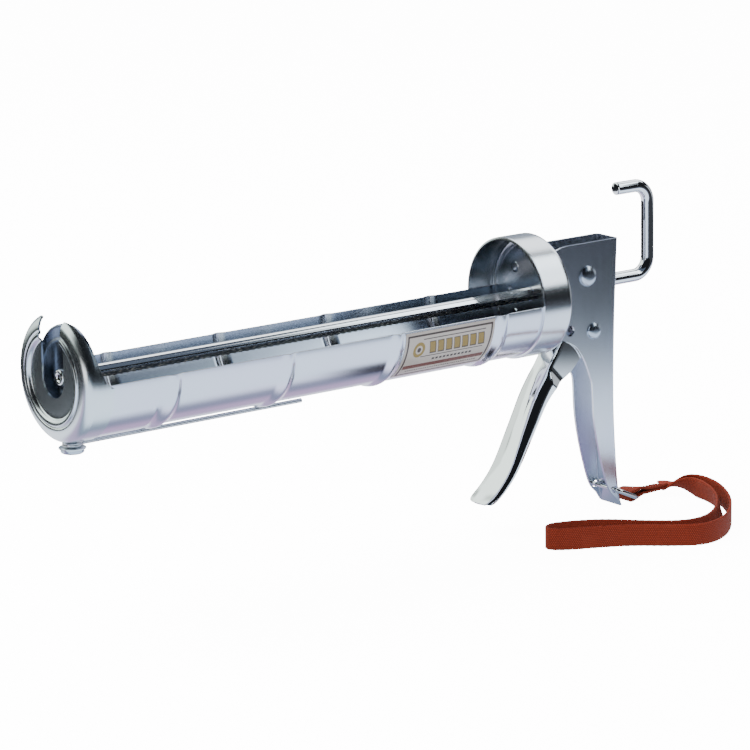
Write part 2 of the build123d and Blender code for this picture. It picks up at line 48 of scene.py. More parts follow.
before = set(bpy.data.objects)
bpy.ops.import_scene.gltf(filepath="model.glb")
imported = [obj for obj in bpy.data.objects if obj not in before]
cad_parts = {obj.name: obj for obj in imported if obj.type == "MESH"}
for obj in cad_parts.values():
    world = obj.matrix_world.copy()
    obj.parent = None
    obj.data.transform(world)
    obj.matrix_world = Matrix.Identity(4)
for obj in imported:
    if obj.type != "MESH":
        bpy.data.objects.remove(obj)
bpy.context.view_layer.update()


def bench(x: float, y: float, z: float) -> Vector:
    """Turn bench millimetres into the frame's metres."""
    return Vector(((x - MID_X) * MM, y * MM, (z + AXIS_Z) * MM))


def add_object(name: str, data: bpy.types.ID) -> Piece:
    """Put a new object with its data in the scene.

    Args:
        name: The object's name.
        data: Its mesh, curve, light or camera.

    Returns:
        The object.
    """
    made = bpy.data.objects.new(name, data)
    bpy.context.scene.collection.objects.link(made)
    return made


def line_data(name: str, lines: Sequence[Places], closed: bool = False) -> bpy.types.Curve:
    """Make curve data of straight stretches.

    Args:
        name: The data's name.
        lines: For each line its places, in bench millimetres.
        closed: Join each line's end to its start.

    Returns:
        The curve data.
    """
    curve = bpy.data.curves.new(name, "CURVE")
    curve.dimensions = "3D"
    for places in lines:
        spline = curve.splines.new("POLY")
        spline.points.add(len(places) - 1)
        for point, place in zip(spline.points, places):
            point.co = (*bench(*place), 1.0)
        spline.use_cyclic_u = closed
    return curve


def smooth_line(points: Places, steps: int = 8) -> list[tuple[float, ...]]:
    """Pass a smooth line through places.

    Args:
        points: Places of any dimension.
        steps: Stretches made from each pair of places.

    Returns:
        Places along the line, the given ones among them.
    """
    p = [np.array(q, float) for q in points]
    p = [2 * p[0] - p[1], *p, 2 * p[-1] - p[-2]]
    line = []
    for a, b, c, d in zip(p, p[1:], p[2:], p[3:]):
        for t in np.arange(steps) / steps:
            line.append(tuple(0.5 * (2 * b + (c - a) * t + (2 * a - 5 * b + 4 * c - d) * t ** 2
                                     + (3 * b - a - 3 * c + d) * t ** 3)))
    return [*line, tuple(p[-2])]


def evenly(points: Places, count: int) -> np.ndarray:
    """Divide a line into places an equal distance apart.

    Args:
        points: The line's places.
        count: How many places to return.

    Returns:
        One row for each place.
    """
    p = np.array(points, float)
    run = np.concatenate([[0.0], np.cumsum(np.linalg.norm(np.diff(p, axis=0), axis=1))])
    want = np.linspace(0, run[-1], count)
    return np.stack([np.interp(want, run, p[:, k]) for k in range(p.shape[1])], axis=1)


def rounded_path(points: Places, radius: float, steps: int = 10) -> list[Vector]:
    """Round the corners of a wire's path.

    Args:
        points: Corner places in bench millimetres.
        radius: Bend radius at each inner corner.
        steps: Stretches in each bend.

    Returns:
        Places along the path.
    """
    p = [Vector(q) for q in points]
    path = [p[0]]
    for a, b, c in zip(p, p[1:], p[2:]):
        u, v = (a - b).normalized(), (c - b).normalized()
        half = u.angle(v) / 2
        reach = radius / np.tan(half)
        centre = b + (u + v).normalized() * radius / sin(half)
        first, last = b + u * reach - centre, b + v * reach - centre
        sweep = first.angle(last)
        for i in range(steps + 1):
            t = i / steps
            path.append(centre + (first * sin((1 - t) * sweep) + last * sin(t * sweep)) / sin(sweep))
    return [*path, p[-1]]


# ---------------------------------------------------------------- node trees
class Wire:
    """A socket of a node tree, with arithmetic that adds Math nodes."""

    def __init__(self, tree: "Tree", socket: bpy.types.NodeSocket) -> None:
        """Hold an output socket of a tree."""
        self.tree = tree
        self.socket = socket

    def __add__(self, other: "Wire | float") -> "Wire":
        """Add."""
        return self.tree.math("ADD", self, other)

    def __sub__(self, other: "Wire | float") -> "Wire":
        """Subtract."""
        return self.tree.math("SUBTRACT", self, other)

    def __rsub__(self, other: float) -> "Wire":
        """Subtract from a number."""
        return self.tree.math("SUBTRACT", other, self)

    def __mul__(self, other: "Wire | float") -> "Wire":
        """Multiply."""
        return self.tree.math("MULTIPLY", self, other)

    def __truediv__(self, other: "Wire | float") -> "Wire":
        """Divide."""
        return self.tree.math("DIVIDE", self, other)

    __radd__ = __add__
    __rmul__ = __mul__


class Tree:
    """A node tree that is written as formulas."""

    def __init__(self, tree: bpy.types.NodeTree) -> None:
        """Hold a node tree."""
        self.tree = tree

    def node(self, kind: str, feeds: dict | None = None, **settings: object) -> bpy.types.Node:
        """Add a node.

        Args:
            kind: The node's type name.
            feeds: Values or wires by input name or index.
            settings: Attributes of the node.

        Returns:
            The node.
        """
        made = self.tree.nodes.new(kind)
        for key, value in settings.items():
            setattr(made, key, value)
        for key, value in (feeds or {}).items():
            self.feed(made.inputs[key], value)
        return made

    def feed(self, socket: bpy.types.NodeSocket, value: object) -> None:
        """Link a wire to an input, or set its value.

        Args:
            socket: Input to set.
            value: Wire or fixed value.
        """
        if isinstance(value, Wire):
            self.tree.links.new(value.socket, socket)
        else:
            socket.default_value = value

    def out(self, node: bpy.types.Node, key: str | int = 0) -> Wire:
        """Take a node's output."""
        return Wire(self, node.outputs[key])

    def math(self, operation: str, *values: "Wire | float") -> Wire:
        """Work out one number from others."""
        return self.out(self.node("ShaderNodeMath", dict(enumerate(values)), operation=operation))

    def step(self, value: Wire, low: float, high: float) -> Wire:
        """Ease from 0 at low to 1 at high; high may be the lower one.

        Args:
            value: Value to step.
            low: Value where the step starts.
            high: Value where the step ends.

        Returns:
            The stepped value.
        """
        flip = high < low
        made = self.node("ShaderNodeMapRange",
                         {"Value": value, "From Min": min(low, high), "From Max": max(low, high),
                                                "To Min": float(flip), "To Max": float(not flip)},
                         interpolation_type="SMOOTHSTEP")
        return self.out(made)

    def within(self, value: Wire, low: float, high: float, soft: float) -> Wire:
        """1 between two values, easing to 0 outside them."""
        return self.step(value, low - soft, low + soft) * self.step(value, high + soft, high - soft)

    def split(self, vector: Wire) -> tuple[Wire, Wire, Wire]:
        """Take a vector's three numbers."""
        made = self.node("ShaderNodeSeparateXYZ", {0: vector})
        return self.out(made, 0), self.out(made, 1), self.out(made, 2)

    def join(self, x: "Wire | float", y: "Wire | float", z: "Wire | float") -> Wire:
        """Make a vector of three numbers."""
        return self.out(self.node("ShaderNodeCombineXYZ", {0: x, 1: y, 2: z}))


class ShaderTree(Tree):
    """Node tree of a material."""

    def __init__(self, material: Finish) -> None:
        """Hold the node tree of a material."""
        super().__init__(material.node_tree)

    @classmethod
    def fresh(cls, name: str) -> tuple[Finish, "ShaderTree"]:
        """Make a material with an empty tree.

        Args:
            name: The material's name.

        Returns:
            The material and its tree.
        """
        material = bpy.data.materials.new(name)
        material.use_nodes = True
        material.node_tree.nodes.clear()
        return material, cls(material)

    def surface(self, shader: bpy.types.Node) -> None:
        """Send a shader to the material's surface."""
        out = self.node("ShaderNodeOutputMaterial")
        self.feed(out.inputs["Surface"], self.out(shader))

    def mix(self, factor: "Wire | float", low: object, high: object) -> Wire:
        """Blend two colours.

        Args:
            factor: Share of the second colour, 0 to 1.
            low: Colour at 0.
            high: Colour at 1.

        Returns:
            The blended colour.
        """
        made = self.node("ShaderNodeMix", data_type="RGBA")
        for key, value in (("Factor_Float", factor), ("A_Color", low), ("B_Color", high)):
            self.feed(next(s for s in made.inputs if s.identifier == key), value)
        return Wire(self, next(s for s in made.outputs if s.identifier == "Result_Color"))

    def noise(self, vector: Wire, scale: float, detail: float = 2.0, rough: float = 0.5) -> Wire:
        """Soft random pattern, about 0.5 on the whole."""
        return self.out(self.node("ShaderNodeTexNoise", {"Vector": vector, "Scale": scale, "Detail": detail,
                                                         "Roughness": rough}))

    def place(self, spread: tuple[float, float, float] = (1, 1, 1)) -> Wire:
        """The surface's place on its piece, stretched along the axes."""
        where = self.out(self.node("ShaderNodeTexCoord"), "Object")
        return self.out(self.node("ShaderNodeMapping", {"Vector": where, "Scale": spread}))

    def bump(self, height: Wire, strength: float, distance: float, under: Wire | None = None) -> Wire:
        """Turn a height in units of distance (metres) into a shading normal.

        Args:
            height: Height of the relief.
            strength: Strength of the relief.
            distance: Depth of the relief in metres.
            under: Normal underneath, if any.

        Returns:
            The raised normal.
        """
        feeds = {"Height": height, "Strength": strength, "Distance": distance}
        if under is not None:
            feeds["Normal"] = under
        return self.out(self.node("ShaderNodeBump", feeds))


class Recipe(Tree):
    """Geometry Nodes tree with named inputs, run once to make a plain mesh."""

    def __init__(self, name: str) -> None:
        """Start a tree whose input and output are a geometry."""
        super().__init__(bpy.data.node_groups.new(name, "GeometryNodeTree"))
        face = self.tree.interface
        face.new_socket("Geometry", in_out="INPUT", socket_type="NodeSocketGeometry")
        face.new_socket("Geometry", in_out="OUTPUT", socket_type="NodeSocketGeometry")
        self.start = self.tree.nodes.new("NodeGroupInput")
        self.values: dict[str, object] = {}

    def geometry(self) -> Wire:
        """The geometry that comes in."""
        return self.out(self.start, "Geometry")

    def size(self, name: str, value: float | int) -> Wire:
        """Add a named input.

        Args:
            name: The input's name.
            value: Its value in this run; a whole number makes a whole-number input.

        Returns:
            The input's wire.
        """
        kind = "NodeSocketInt" if isinstance(value, int) else "NodeSocketFloat"
        self.tree.interface.new_socket(name, in_out="INPUT", socket_type=kind)
        self.values[name] = value
        return self.out(self.start, name)

    def make(self, name: str, shape: Wire, finish: Finish,
             base: bpy.types.ID | None = None) -> Piece:
        """Close the tree and run it.

        Args:
            name: Name of the piece.
            shape: The finished geometry.
            finish: Its material.
            base: Mesh or curve data that goes in, if any.

        Returns:
            An object with a plain mesh.
        """
        shaded = self.out(self.node("GeometryNodeSetShadeSmooth", {"Geometry": shape, "Shade Smooth": True}))
        real = self.out(self.node("GeometryNodeRealizeInstances", {"Geometry": shaded}))
        done = self.out(self.node("GeometryNodeSetMaterial", {"Geometry": real, "Material": finish}))
        end = self.tree.nodes.new("NodeGroupOutput")
        self.feed(end.inputs["Geometry"], done)
        carrier = add_object(name, base or bpy.data.meshes.new(name))
        modifier = carrier.modifiers.new("recipe", "NODES")
        modifier.node_group = self.tree
        for item in self.tree.interface.items_tree:
            if item.in_out == "INPUT" and item.name in self.values:
                modifier[item.identifier] = self.values[item.name]
        return plain(carrier, name)


def plain(source: Piece, name: str) -> Piece:
    """Turn an object with modifiers, or a curve, into an object with a plain mesh.

    Args:
        source: The object; it is removed.
        name: Name of the new object.

    Returns:
        The new object, at the origin.
    """
    bpy.context.view_layer.update()
    seen = source.evaluated_get(bpy.context.evaluated_depsgraph_get())
    mesh = bpy.data.meshes.new_from_object(seen, preserve_all_data_layers=True,
                                           depsgraph=bpy.context.evaluated_depsgraph_get())
    bpy.data.objects.remove(source)
    mesh.name = name
    return add_object(name, mesh)


# ---------------------------------------------------------------- sheet-metal blanks
class Blank:
    """Points in bench millimetres and faces, gathered into one mesh."""

    def __init__(self) -> None:
        """Start with nothing."""
        self.points: list[Vector] = []
        self.faces: list[tuple[int, ...]] = []

    def grid(self, rows: Sequence[Places], wrap: bool = False) -> "Blank":
        """Add a sheet of rows of places.

        Args:
            rows: Rows of equal length.
            wrap: Join the last row to the first.

        Returns:
            The blank itself.
        """
        base, wide = len(self.points), len(rows[0])
        self.points += [Vector(q) for row in rows for q in row]
        for j in range(len(rows) - (not wrap)):
            k = (j + 1) % len(rows)
            for i in range(wide - 1):
                low, high = base + j * wide + i, base + k * wide + i
                self.faces.append((low, low + 1, high + 1, high))
        return self

    def turned(self, profile: Places, centre: Vector, along: Vector, steps: int = 48) -> "Blank":
        """Add a turned shape.

        Args:
            profile: Places as height along the axis and radius, all the way round the section.
            centre: A place on the axis, in bench millimetres.
            along: Direction of the axis.
            steps: Stretches round the axis.

        Returns:
            The blank itself.
        """
        a = along.normalized()
        u = a.orthogonal().normalized()
        v = a.cross(u)
        rows = []
        for j in range(steps):
            t = 2 * pi * j / steps
            rows.append([centre + a * h + (u * cos(t) + v * sin(t)) * r for h, r in profile])
        return self.grid(rows, wrap=True)

    def slab(self, outline: Places, low: float, high: float) -> "Blank":
        """Add a plate that lies in the side view.

        Args:
            outline: Places as x and z.
            low: Its nearer face's y.
            high: Its farther face's y.

        Returns:
            The blank itself.
        """
        base, count = len(self.points), len(outline)
        self.points += [Vector((x, y, z)) for y in (low, high) for x, z in outline]
        self.faces.append(tuple(range(base, base + count)))
        self.faces.append(tuple(range(base + 2 * count - 1, base + count - 1, -1)))
        for i in range(count):
            k = (i + 1) % count
            self.faces.append((base + i, base + count + i, base + count + k, base + k))
        return self

    def carrier(self, name: str, close: bool = True) -> Piece:
        """Make the mesh object.

        Args:
            name: The object's name.
            close: Merge doubles and turn the faces outwards.

        Returns:
            The object, in metres.
        """
        mesh = bpy.data.meshes.new(name)
        mesh.from_pydata([bench(*p) for p in self.points], [], self.faces)
        work = bmesh.new()
        work.from_mesh(mesh)
        bmesh.ops.remove_doubles(work, verts=work.verts, dist=2e-6)
        if close:
            bmesh.ops.recalc_face_normals(work, faces=work.faces)
        work.to_mesh(mesh)
        work.free()
        return add_object(name, mesh)


def dress(carrier: Piece, finish: Finish, sheet: float = 0.0, holes: Piece | None = None,
          edge: float = 0.15, sharp: float = 32.0, flat: bool = True, rounds: int = 2) -> Piece:
    """Give a mesh its thickness, holes, rounded edges and material.

    Args:
        carrier: Object from a blank; it is used up.
        finish: Its material.
        sheet: Sheet thickness in millimetres, or 0 for a mesh that is already closed.
        holes: Object to cut away; it is used up.
        edge: Radius of the rounded edges in millimetres, or 0 for none.
        sharp: Angle in degrees above which an edge is an edge.
        flat: Keep the large faces flat in their shading up to their rounded edges.
        rounds: Stretches in each rounded edge.

    Returns:
        The finished object, with a plain mesh.
    """
    name = carrier.name
    carrier.name = name + ".blank"
    carrier.data.materials.clear()
    carrier.data.materials.append(finish)
    if sheet:
        wall = carrier.modifiers.new("wall", "SOLIDIFY")
        wall.thickness = sheet * MM
        wall.offset = -1.0
        wall.use_even_offset = True
    if holes:
        holes.hide_render = True
        cut = carrier.modifiers.new("holes", "BOOLEAN")
        cut.object = holes
        cut.solver = "EXACT"
    done = plain(carrier, name)
    if holes:
        bpy.data.objects.remove(holes)
        work = bmesh.new()
        work.from_mesh(done.data)
        bmesh.ops.remove_doubles(work, verts=work.verts, dist=1e-6)
        bmesh.ops.dissolve_degenerate(work, edges=work.edges, dist=1e-6)
        work.to_mesh(done.data)
        work.free()
        done.data.materials.clear()
        done.data.materials.append(finish)
    done.data.polygons.foreach_set("use_smooth", [True] * len(done.data.polygons))
    done.data.polygons.foreach_set("material_index", [0] * len(done.data.polygons))
    if edge:
        soft = done.modifiers.new("edges", "BEVEL")
        soft.width = edge * MM
        soft.segments = rounds
        soft.limit_method = "ANGLE"
        soft.angle_limit = radians(sharp)
        soft.harden_normals = True
        if flat:
            level = done.modifiers.new("normals", "WEIGHTED_NORMAL")
            level.weight = 90
            level.keep_sharp = True
        done = plain(done, name)
    else:
        done.data.set_sharp_from_angle(angle=radians(40))
    done.name = name
    return done


def turned_piece(name: str, profile: Places, centre: Vector, along: Vector, steps: int, finish: Finish,
                 edge: float = 0.0) -> Piece:
    """Turn a piece about an axis and dress it.

    Args:
        name: The piece's name.
        profile: Places as height along the axis and radius.
        centre: A place on the axis, in bench millimetres.
        along: Direction of the axis.
        steps: Stretches round the axis.
        finish: Its material.
        edge: Radius of the rounded edges in millimetres, or 0 for none.

    Returns:
        The finished object.
    """
    return dress(Blank().turned(profile, centre, along, steps).carrier(name), finish, edge=edge)


def hand_over(piece: Piece, body: str, nodes: Sequence[str]) -> Piece:
    """Set a finished piece on its body in place of its nodes.

    Args:
        piece: The finished piece.
        body: Body that it moves with.
        nodes: Nodes that it stands for.

    Returns:
        The piece.
    """
    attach(piece, body)
    if nodes:
        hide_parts(*nodes)
    LOG.info("%s on %s: %d faces", piece.name, body, len(piece.data.polygons))
    return piece


# ---------------------------------------------------------------- finishes
class Grain(Enum):
    """Direction of the fine marks in a metal's surface."""

    NONE = (60.0, 60.0, 60.0)
    ALONG = (30.0, 900.0, 900.0)
    ROUND = (1600.0, 60.0, 60.0)
    UPRIGHT = (900.0, 900.0, 40.0)


@dataclass(frozen=True)
class Metal:
    """Plated or bare metal.

    Attributes:
        name: Material's name.
        tone: Base colour.
        shine: Roughness of the clean surface.
        spread: How far the roughness varies.
        waves: Height of the sheet's slow waviness, in millimetres.
        grain: Direction of the fine marks.
        scratch: Depth of the fine marks, in micrometres.
        bloom: Second tint that drifts over the plating.
        bloom_share: Share of the second tint.
    """

    name: str
    tone: tuple[float, float, float]
    shine: float = 0.12
    spread: float = 0.06
    waves: float = 0.02
    grain: Grain = Grain.NONE
    scratch: float = 1.0
    bloom: tuple[float, float, float] = (0.80, 0.78, 0.86)
    bloom_share: float = 0.25

    def make(self) -> Finish:
        """Build the material.

        Returns:
            The material.
        """
        material, tree = ShaderTree.fresh(self.name)
        where = tree.place()
        drift = tree.noise(where, 22.0, 3.0)
        marks = tree.noise(tree.place(self.grain.value), 1.0, 4.0, 0.6)
        smudge = tree.noise(where, 160.0, 4.0, 0.6)
        tone = tree.mix(tree.step(drift, 0.40, 0.72) * self.bloom_share, (*self.tone, 1), (*self.bloom, 1))
        tone = tree.mix(tree.step(smudge, 0.62, 0.80) * 0.10, tone, (0.42, 0.43, 0.46, 1))
        rough = self.shine + (drift - 0.5) * self.spread + (marks - 0.5) * self.spread * 0.8
        slow = tree.bump(tree.noise(where, 34.0, 1.0), 1.0, self.waves * MM)
        fine = tree.bump(marks, 1.0, self.scratch * 1e-6, slow)
        shader = tree.node("ShaderNodeBsdfPrincipled", {
            "Base Color": tone, "Metallic": 1.0, "Roughness": tree.math("MAXIMUM", rough, 0.03),
            "Normal": fine})
        tree.surface(shader)
        return material


@dataclass(frozen=True)
class BarrelPlate(Metal):
    """Zinc plate on the barrel, with painted reflection and shade in its colour: a rose band of painted
    reflection on the trough's near side, and painted shade inside the trough that grows darker towards the
    rear.
    """

    def make(self) -> Finish:
        """Build the material and lay the painted rose reflection band and the painted shade inside the trough
        over its tint.

        Returns:
            The material.
        """
        material = super().make()
        tree = ShaderTree(material)
        shader = next(n for n in tree.tree.nodes if n.type == "BSDF_PRINCIPLED")
        base = Wire(tree, shader.inputs["Base Color"].links[0].from_socket)
        x, y, z = tree.split(tree.place())
        drop = (z - AXIS_Z * MM) * 1000.0
        drift = tree.noise(tree.place((6, 30, 30)), 1.0, 2.0)
        # painted reflection: a rose band low on the near side that stands for the reflected table and the
        # gun's own shadow
        low = tree.within(drop + (drift - 0.5) * 14.0, -22.5, -15.0, 3.0)
        tint = tree.mix(low * 0.8, base, (0.88, 0.76, 0.88, 1))
        run = x * 1000.0 + MID_X
        across = y * 1000.0
        # painted shade inside the trough: the inner face is tinted a darker blue-grey
        inner = tree.step(tree.math("SQRT", across * across + drop * drop), 26.1, 25.9)
        tint = tree.mix(inner * 0.8, tint, (0.42, 0.49, 0.60, 1))
        # painted shade: the inside grows darker towards the rear, where the collar and handle darken its
        # reflection
        tint = tree.mix(inner * tree.step(run, 178.0, 226.0) * 0.8, tint, (0.10, 0.12, 0.16, 1))
        tree.feed(shader.inputs["Base Color"], tint)
        return material


@dataclass(frozen=True)
class RatchetPlate(Metal):
    """Bright rod whose toothed underside is painted in shade, near black with pale speckles of painted
    reflection, and rougher.

    Attributes:
        first: Where the teeth begin, x.
        last: Where they end, x.
    """

    first: float = 21.0
    last: float = 292.0

    def make(self) -> Finish:
        """Build the material and paint shade on the toothed side.

        Returns:
            The material.
        """
        material = super().make()
        tree = ShaderTree(material)
        shader = next(n for n in tree.tree.nodes if n.type == "BSDF_PRINCIPLED")
        base = Wire(tree, shader.inputs["Base Color"].links[0].from_socket)
        rough = Wire(tree, shader.inputs["Roughness"].links[0].from_socket)
        x, _, z = tree.split(tree.place())
        drop = (z - AXIS_Z * MM) * 1000.0
        speckle = tree.noise(tree.place((500.0, 1400.0, 1400.0)), 1.0, 3.0, 0.7)
        wavy = drop + (speckle - 0.5) * 1.2
        toothed = tree.step(wavy, 0.5, -0.7) * tree.within(x * 1000.0 + MID_X, self.first, self.last, 1.0)
        # painted shade on the rod's toothed underside: near black, with pale speckles of painted reflection
        underside_shade = tree.mix(tree.step(speckle, 0.50, 0.68), (0.012, 0.013, 0.013, 1), (0.42, 0.39, 0.30, 1))
        tree.feed(shader.inputs["Base Color"], tree.mix(toothed * 0.92, base, underside_shade))
        tree.feed(shader.inputs["Roughness"], rough + toothed * 0.32)
        return material


@dataclass(frozen=True)
class Webbing:
    """Woven strap; u runs along it and v across it, both in millimetres. Its threads take a lit tone on their
    crowns and a painted shade in their valleys.
    """

    name: str = "orange_webbing"
    # lit and shaded copies of the strap's colour: painted light on the thread crowns, painted shade in the
    # valleys
    lit: tuple[float, float, float] = (0.36, 0.044, 0.016)
    valley_shade: tuple[float, float, float] = (0.15, 0.014, 0.005)
    rib: float = 0.95
    warp: float = 0.80

    def make(self) -> Finish:
        """Build the material.

        Returns:
            The material.
        """
        material, tree = ShaderTree.fresh(self.name)
        u, v, _ = tree.split(tree.out(tree.node("ShaderNodeUVMap", uv_map="weave")))
        row = tree.math("FLOOR", v / self.warp)
        turn = (u / self.rib + row * 0.5) * (2 * pi)
        thread = tree.math("SINE", turn) * 0.5 + 0.5
        cross = tree.math("ABSOLUTE", tree.math("SINE", v * (pi / self.warp)))
        fuzz = tree.noise(tree.place(), 900.0, 3.0, 0.6)
        wear = tree.noise(tree.place(), 70.0, 2.0)
        height = thread * cross * 0.8 + fuzz * 0.35
        # painted light and shade: lit tone on the thread crowns, shaded tone in the weave's valleys
        tone = tree.mix(tree.step(height, 0.05, 0.95), (*self.valley_shade, 1), (*self.lit, 1))
        tone = tree.mix(tree.step(wear, 0.55, 0.8) * 0.25, tone, (0.34, 0.055, 0.024, 1))
        shader = tree.node("ShaderNodeBsdfPrincipled", {
            "Base Color": tone, "Roughness": 0.78, "Specular IOR Level": 0.25, "Sheen Weight": 0.08,
            "Sheen Roughness": 0.4, "Sheen Tint": (1.0, 0.55, 0.40, 1.0),
            "Normal": tree.bump(height, 0.9, 0.00028)})
        tree.surface(shader)
        return material


@dataclass(frozen=True)
class PrintedFilm:
    """Sticker with a border, a plain emblem and a stripe; u and v run from 0 to 1."""

    name: str = "printed_film"
    ground: tuple[float, float, float] = (0.50, 0.46, 0.43)
    ink: tuple[float, float, float] = (0.045, 0.020, 0.014)
    stripe: tuple[float, float, float] = (0.17, 0.045, 0.030)
    gold: tuple[float, float, float] = (0.30, 0.20, 0.03)

    def make(self) -> Finish:
        """Build the material.

        Returns:
            The material.
        """
        material, tree = ShaderTree.fresh(self.name)
        u, v, _ = tree.split(tree.out(tree.node("ShaderNodeUVMap", uv_map="print")))
        inside = tree.within(u, 0.022, 0.978, 0.003) * tree.within(v, 0.05, 0.95, 0.006)
        core = tree.within(u, 0.040, 0.960, 0.003) * tree.within(v, 0.085, 0.915, 0.006)
        lift = tree.noise(tree.place((30, 30, 30)), 1.0, 2.0)
        tone = tree.mix(lift, (*self.ground, 1), (0.68, 0.63, 0.59, 1))
        tone = tree.mix(inside * (1.0 - core), tone, (*self.ink, 1))
        band = tree.within(v, 0.235, 0.335, 0.006) * tree.within(u, 0.05, 0.95, 0.003)
        tone = tree.mix(band, tone, (*self.stripe, 1))
        rules = tree.within(v, 0.845, 0.862, 0.004) + tree.within(v, 0.500, 0.517, 0.004)
        tone = tree.mix(rules * tree.within(u, 0.20, 0.90, 0.003), tone, (*self.ink, 1))
        slant = u + (v - 0.68) * 0.10
        lean = tree.math("FRACT", slant * 11.0)
        bars = tree.within(lean, 0.16, 0.80, 0.05) * tree.within(slant, 0.275, 0.905, 0.004)
        bars = bars * tree.within(v, 0.575, 0.785, 0.008)
        shade = tree.within(lean, 0.10, 0.90, 0.05) * tree.within(slant, 0.27, 0.91, 0.004)
        tone = tree.mix(shade * tree.within(v, 0.550, 0.800, 0.008), tone, (*self.ink, 1))
        tone = tree.mix(bars, tone, (*self.gold, 1))
        away = tree.math("SQRT",
                         tree.math("POWER", (u - 0.165) * 2.3, 2.0) + tree.math("POWER", v - 0.66, 2.0))
        tone = tree.mix(tree.within(away, 0.085, 0.150, 0.008), tone, (*self.gold, 1))
        tone = tree.mix(tree.step(away, 0.055, 0.040), tone, (*self.ink, 1))
        dashes = tree.step(tree.math("FRACT", u * 24.0), 0.30, 0.36) * tree.within(u, 0.34, 0.80, 0.003)
        tone = tree.mix(dashes * tree.within(v, 0.395, 0.440, 0.006), tone, (*self.ink, 1))
        small = tree.step(tree.math("FRACT", u * 40.0), 0.30, 0.36) * tree.within(u, 0.10, 0.90, 0.003)
        tone = tree.mix(small * tree.within(v, 0.155, 0.185, 0.006), tone, (*self.ink, 1))
        shader = tree.node("ShaderNodeBsdfPrincipled", {
            "Base Color": tone, "Roughness": 0.38, "Metallic": 0.15, "Coat Weight": 0.35,
            "Coat Roughness": 0.18,
            "Normal": tree.bump(tree.noise(tree.place(), 120.0, 2.0), 0.4, 0.00002)})
        tree.surface(shader)
        return material


class Finishes:
    """Every finish of the gun, made once."""

    def __init__(self) -> None:
        """Make the materials."""
        self.barrel = BarrelPlate("barrel_plate", (0.78, 0.80, 0.87), shine=0.20, waves=0.05,
                                  grain=Grain.ALONG,
                                  scratch=2.0, bloom=(0.80, 0.76, 0.88), bloom_share=0.5).make()
        self.cap = Metal("cap_plate", (0.80, 0.85, 0.87), shine=0.24, waves=0.02,
                         bloom=(0.70, 0.79, 0.83)).make()
        self.collar = Metal("collar_plate", (0.80, 0.82, 0.86), shine=0.22, spread=0.10, grain=Grain.ROUND,
                            scratch=5.0,
                            waves=0.03).make()
        self.frame = Metal("frame_plate", (0.74, 0.77, 0.83), shine=0.24, waves=0.03, grain=Grain.UPRIGHT,
                           scratch=2.0,
                           bloom=(0.66, 0.70, 0.86), bloom_share=0.4).make()
        self.bright = Metal("trigger_plate", (0.90, 0.92, 0.92), shine=0.07, spread=0.03, waves=0.03,
                            bloom=(0.82, 0.88, 0.86)).make()
        self.rod = RatchetPlate("rod_plate", (0.88, 0.90, 0.92), shine=0.09, spread=0.05, waves=0.03).make()
        self.piston = Metal("piston_plate_finish", (0.22, 0.25, 0.33), shine=0.22, waves=0.05,
                            bloom=(0.15, 0.17, 0.25)).make()
        self.rivet = Metal("rivet_plate", (0.50, 0.56, 0.64), shine=0.24, waves=0.03).make()
        self.dark = Metal("oiled_steel", (0.30, 0.30, 0.33), shine=0.36, waves=0.02, scratch=6.0).make()
        self.wire = Metal("drawn_wire", (0.62, 0.62, 0.64), shine=0.24, waves=0.0, scratch=3.0).make()
        self.webbing = Webbing().make()
        # the thread's lit tone, then its painted shade tone for the weave's valleys
        self.thread = Webbing("stitch_thread", (0.34, 0.035, 0.012), (0.16, 0.015, 0.006), 0.3, 0.3).make()
        self.film = PrintedFilm().make()


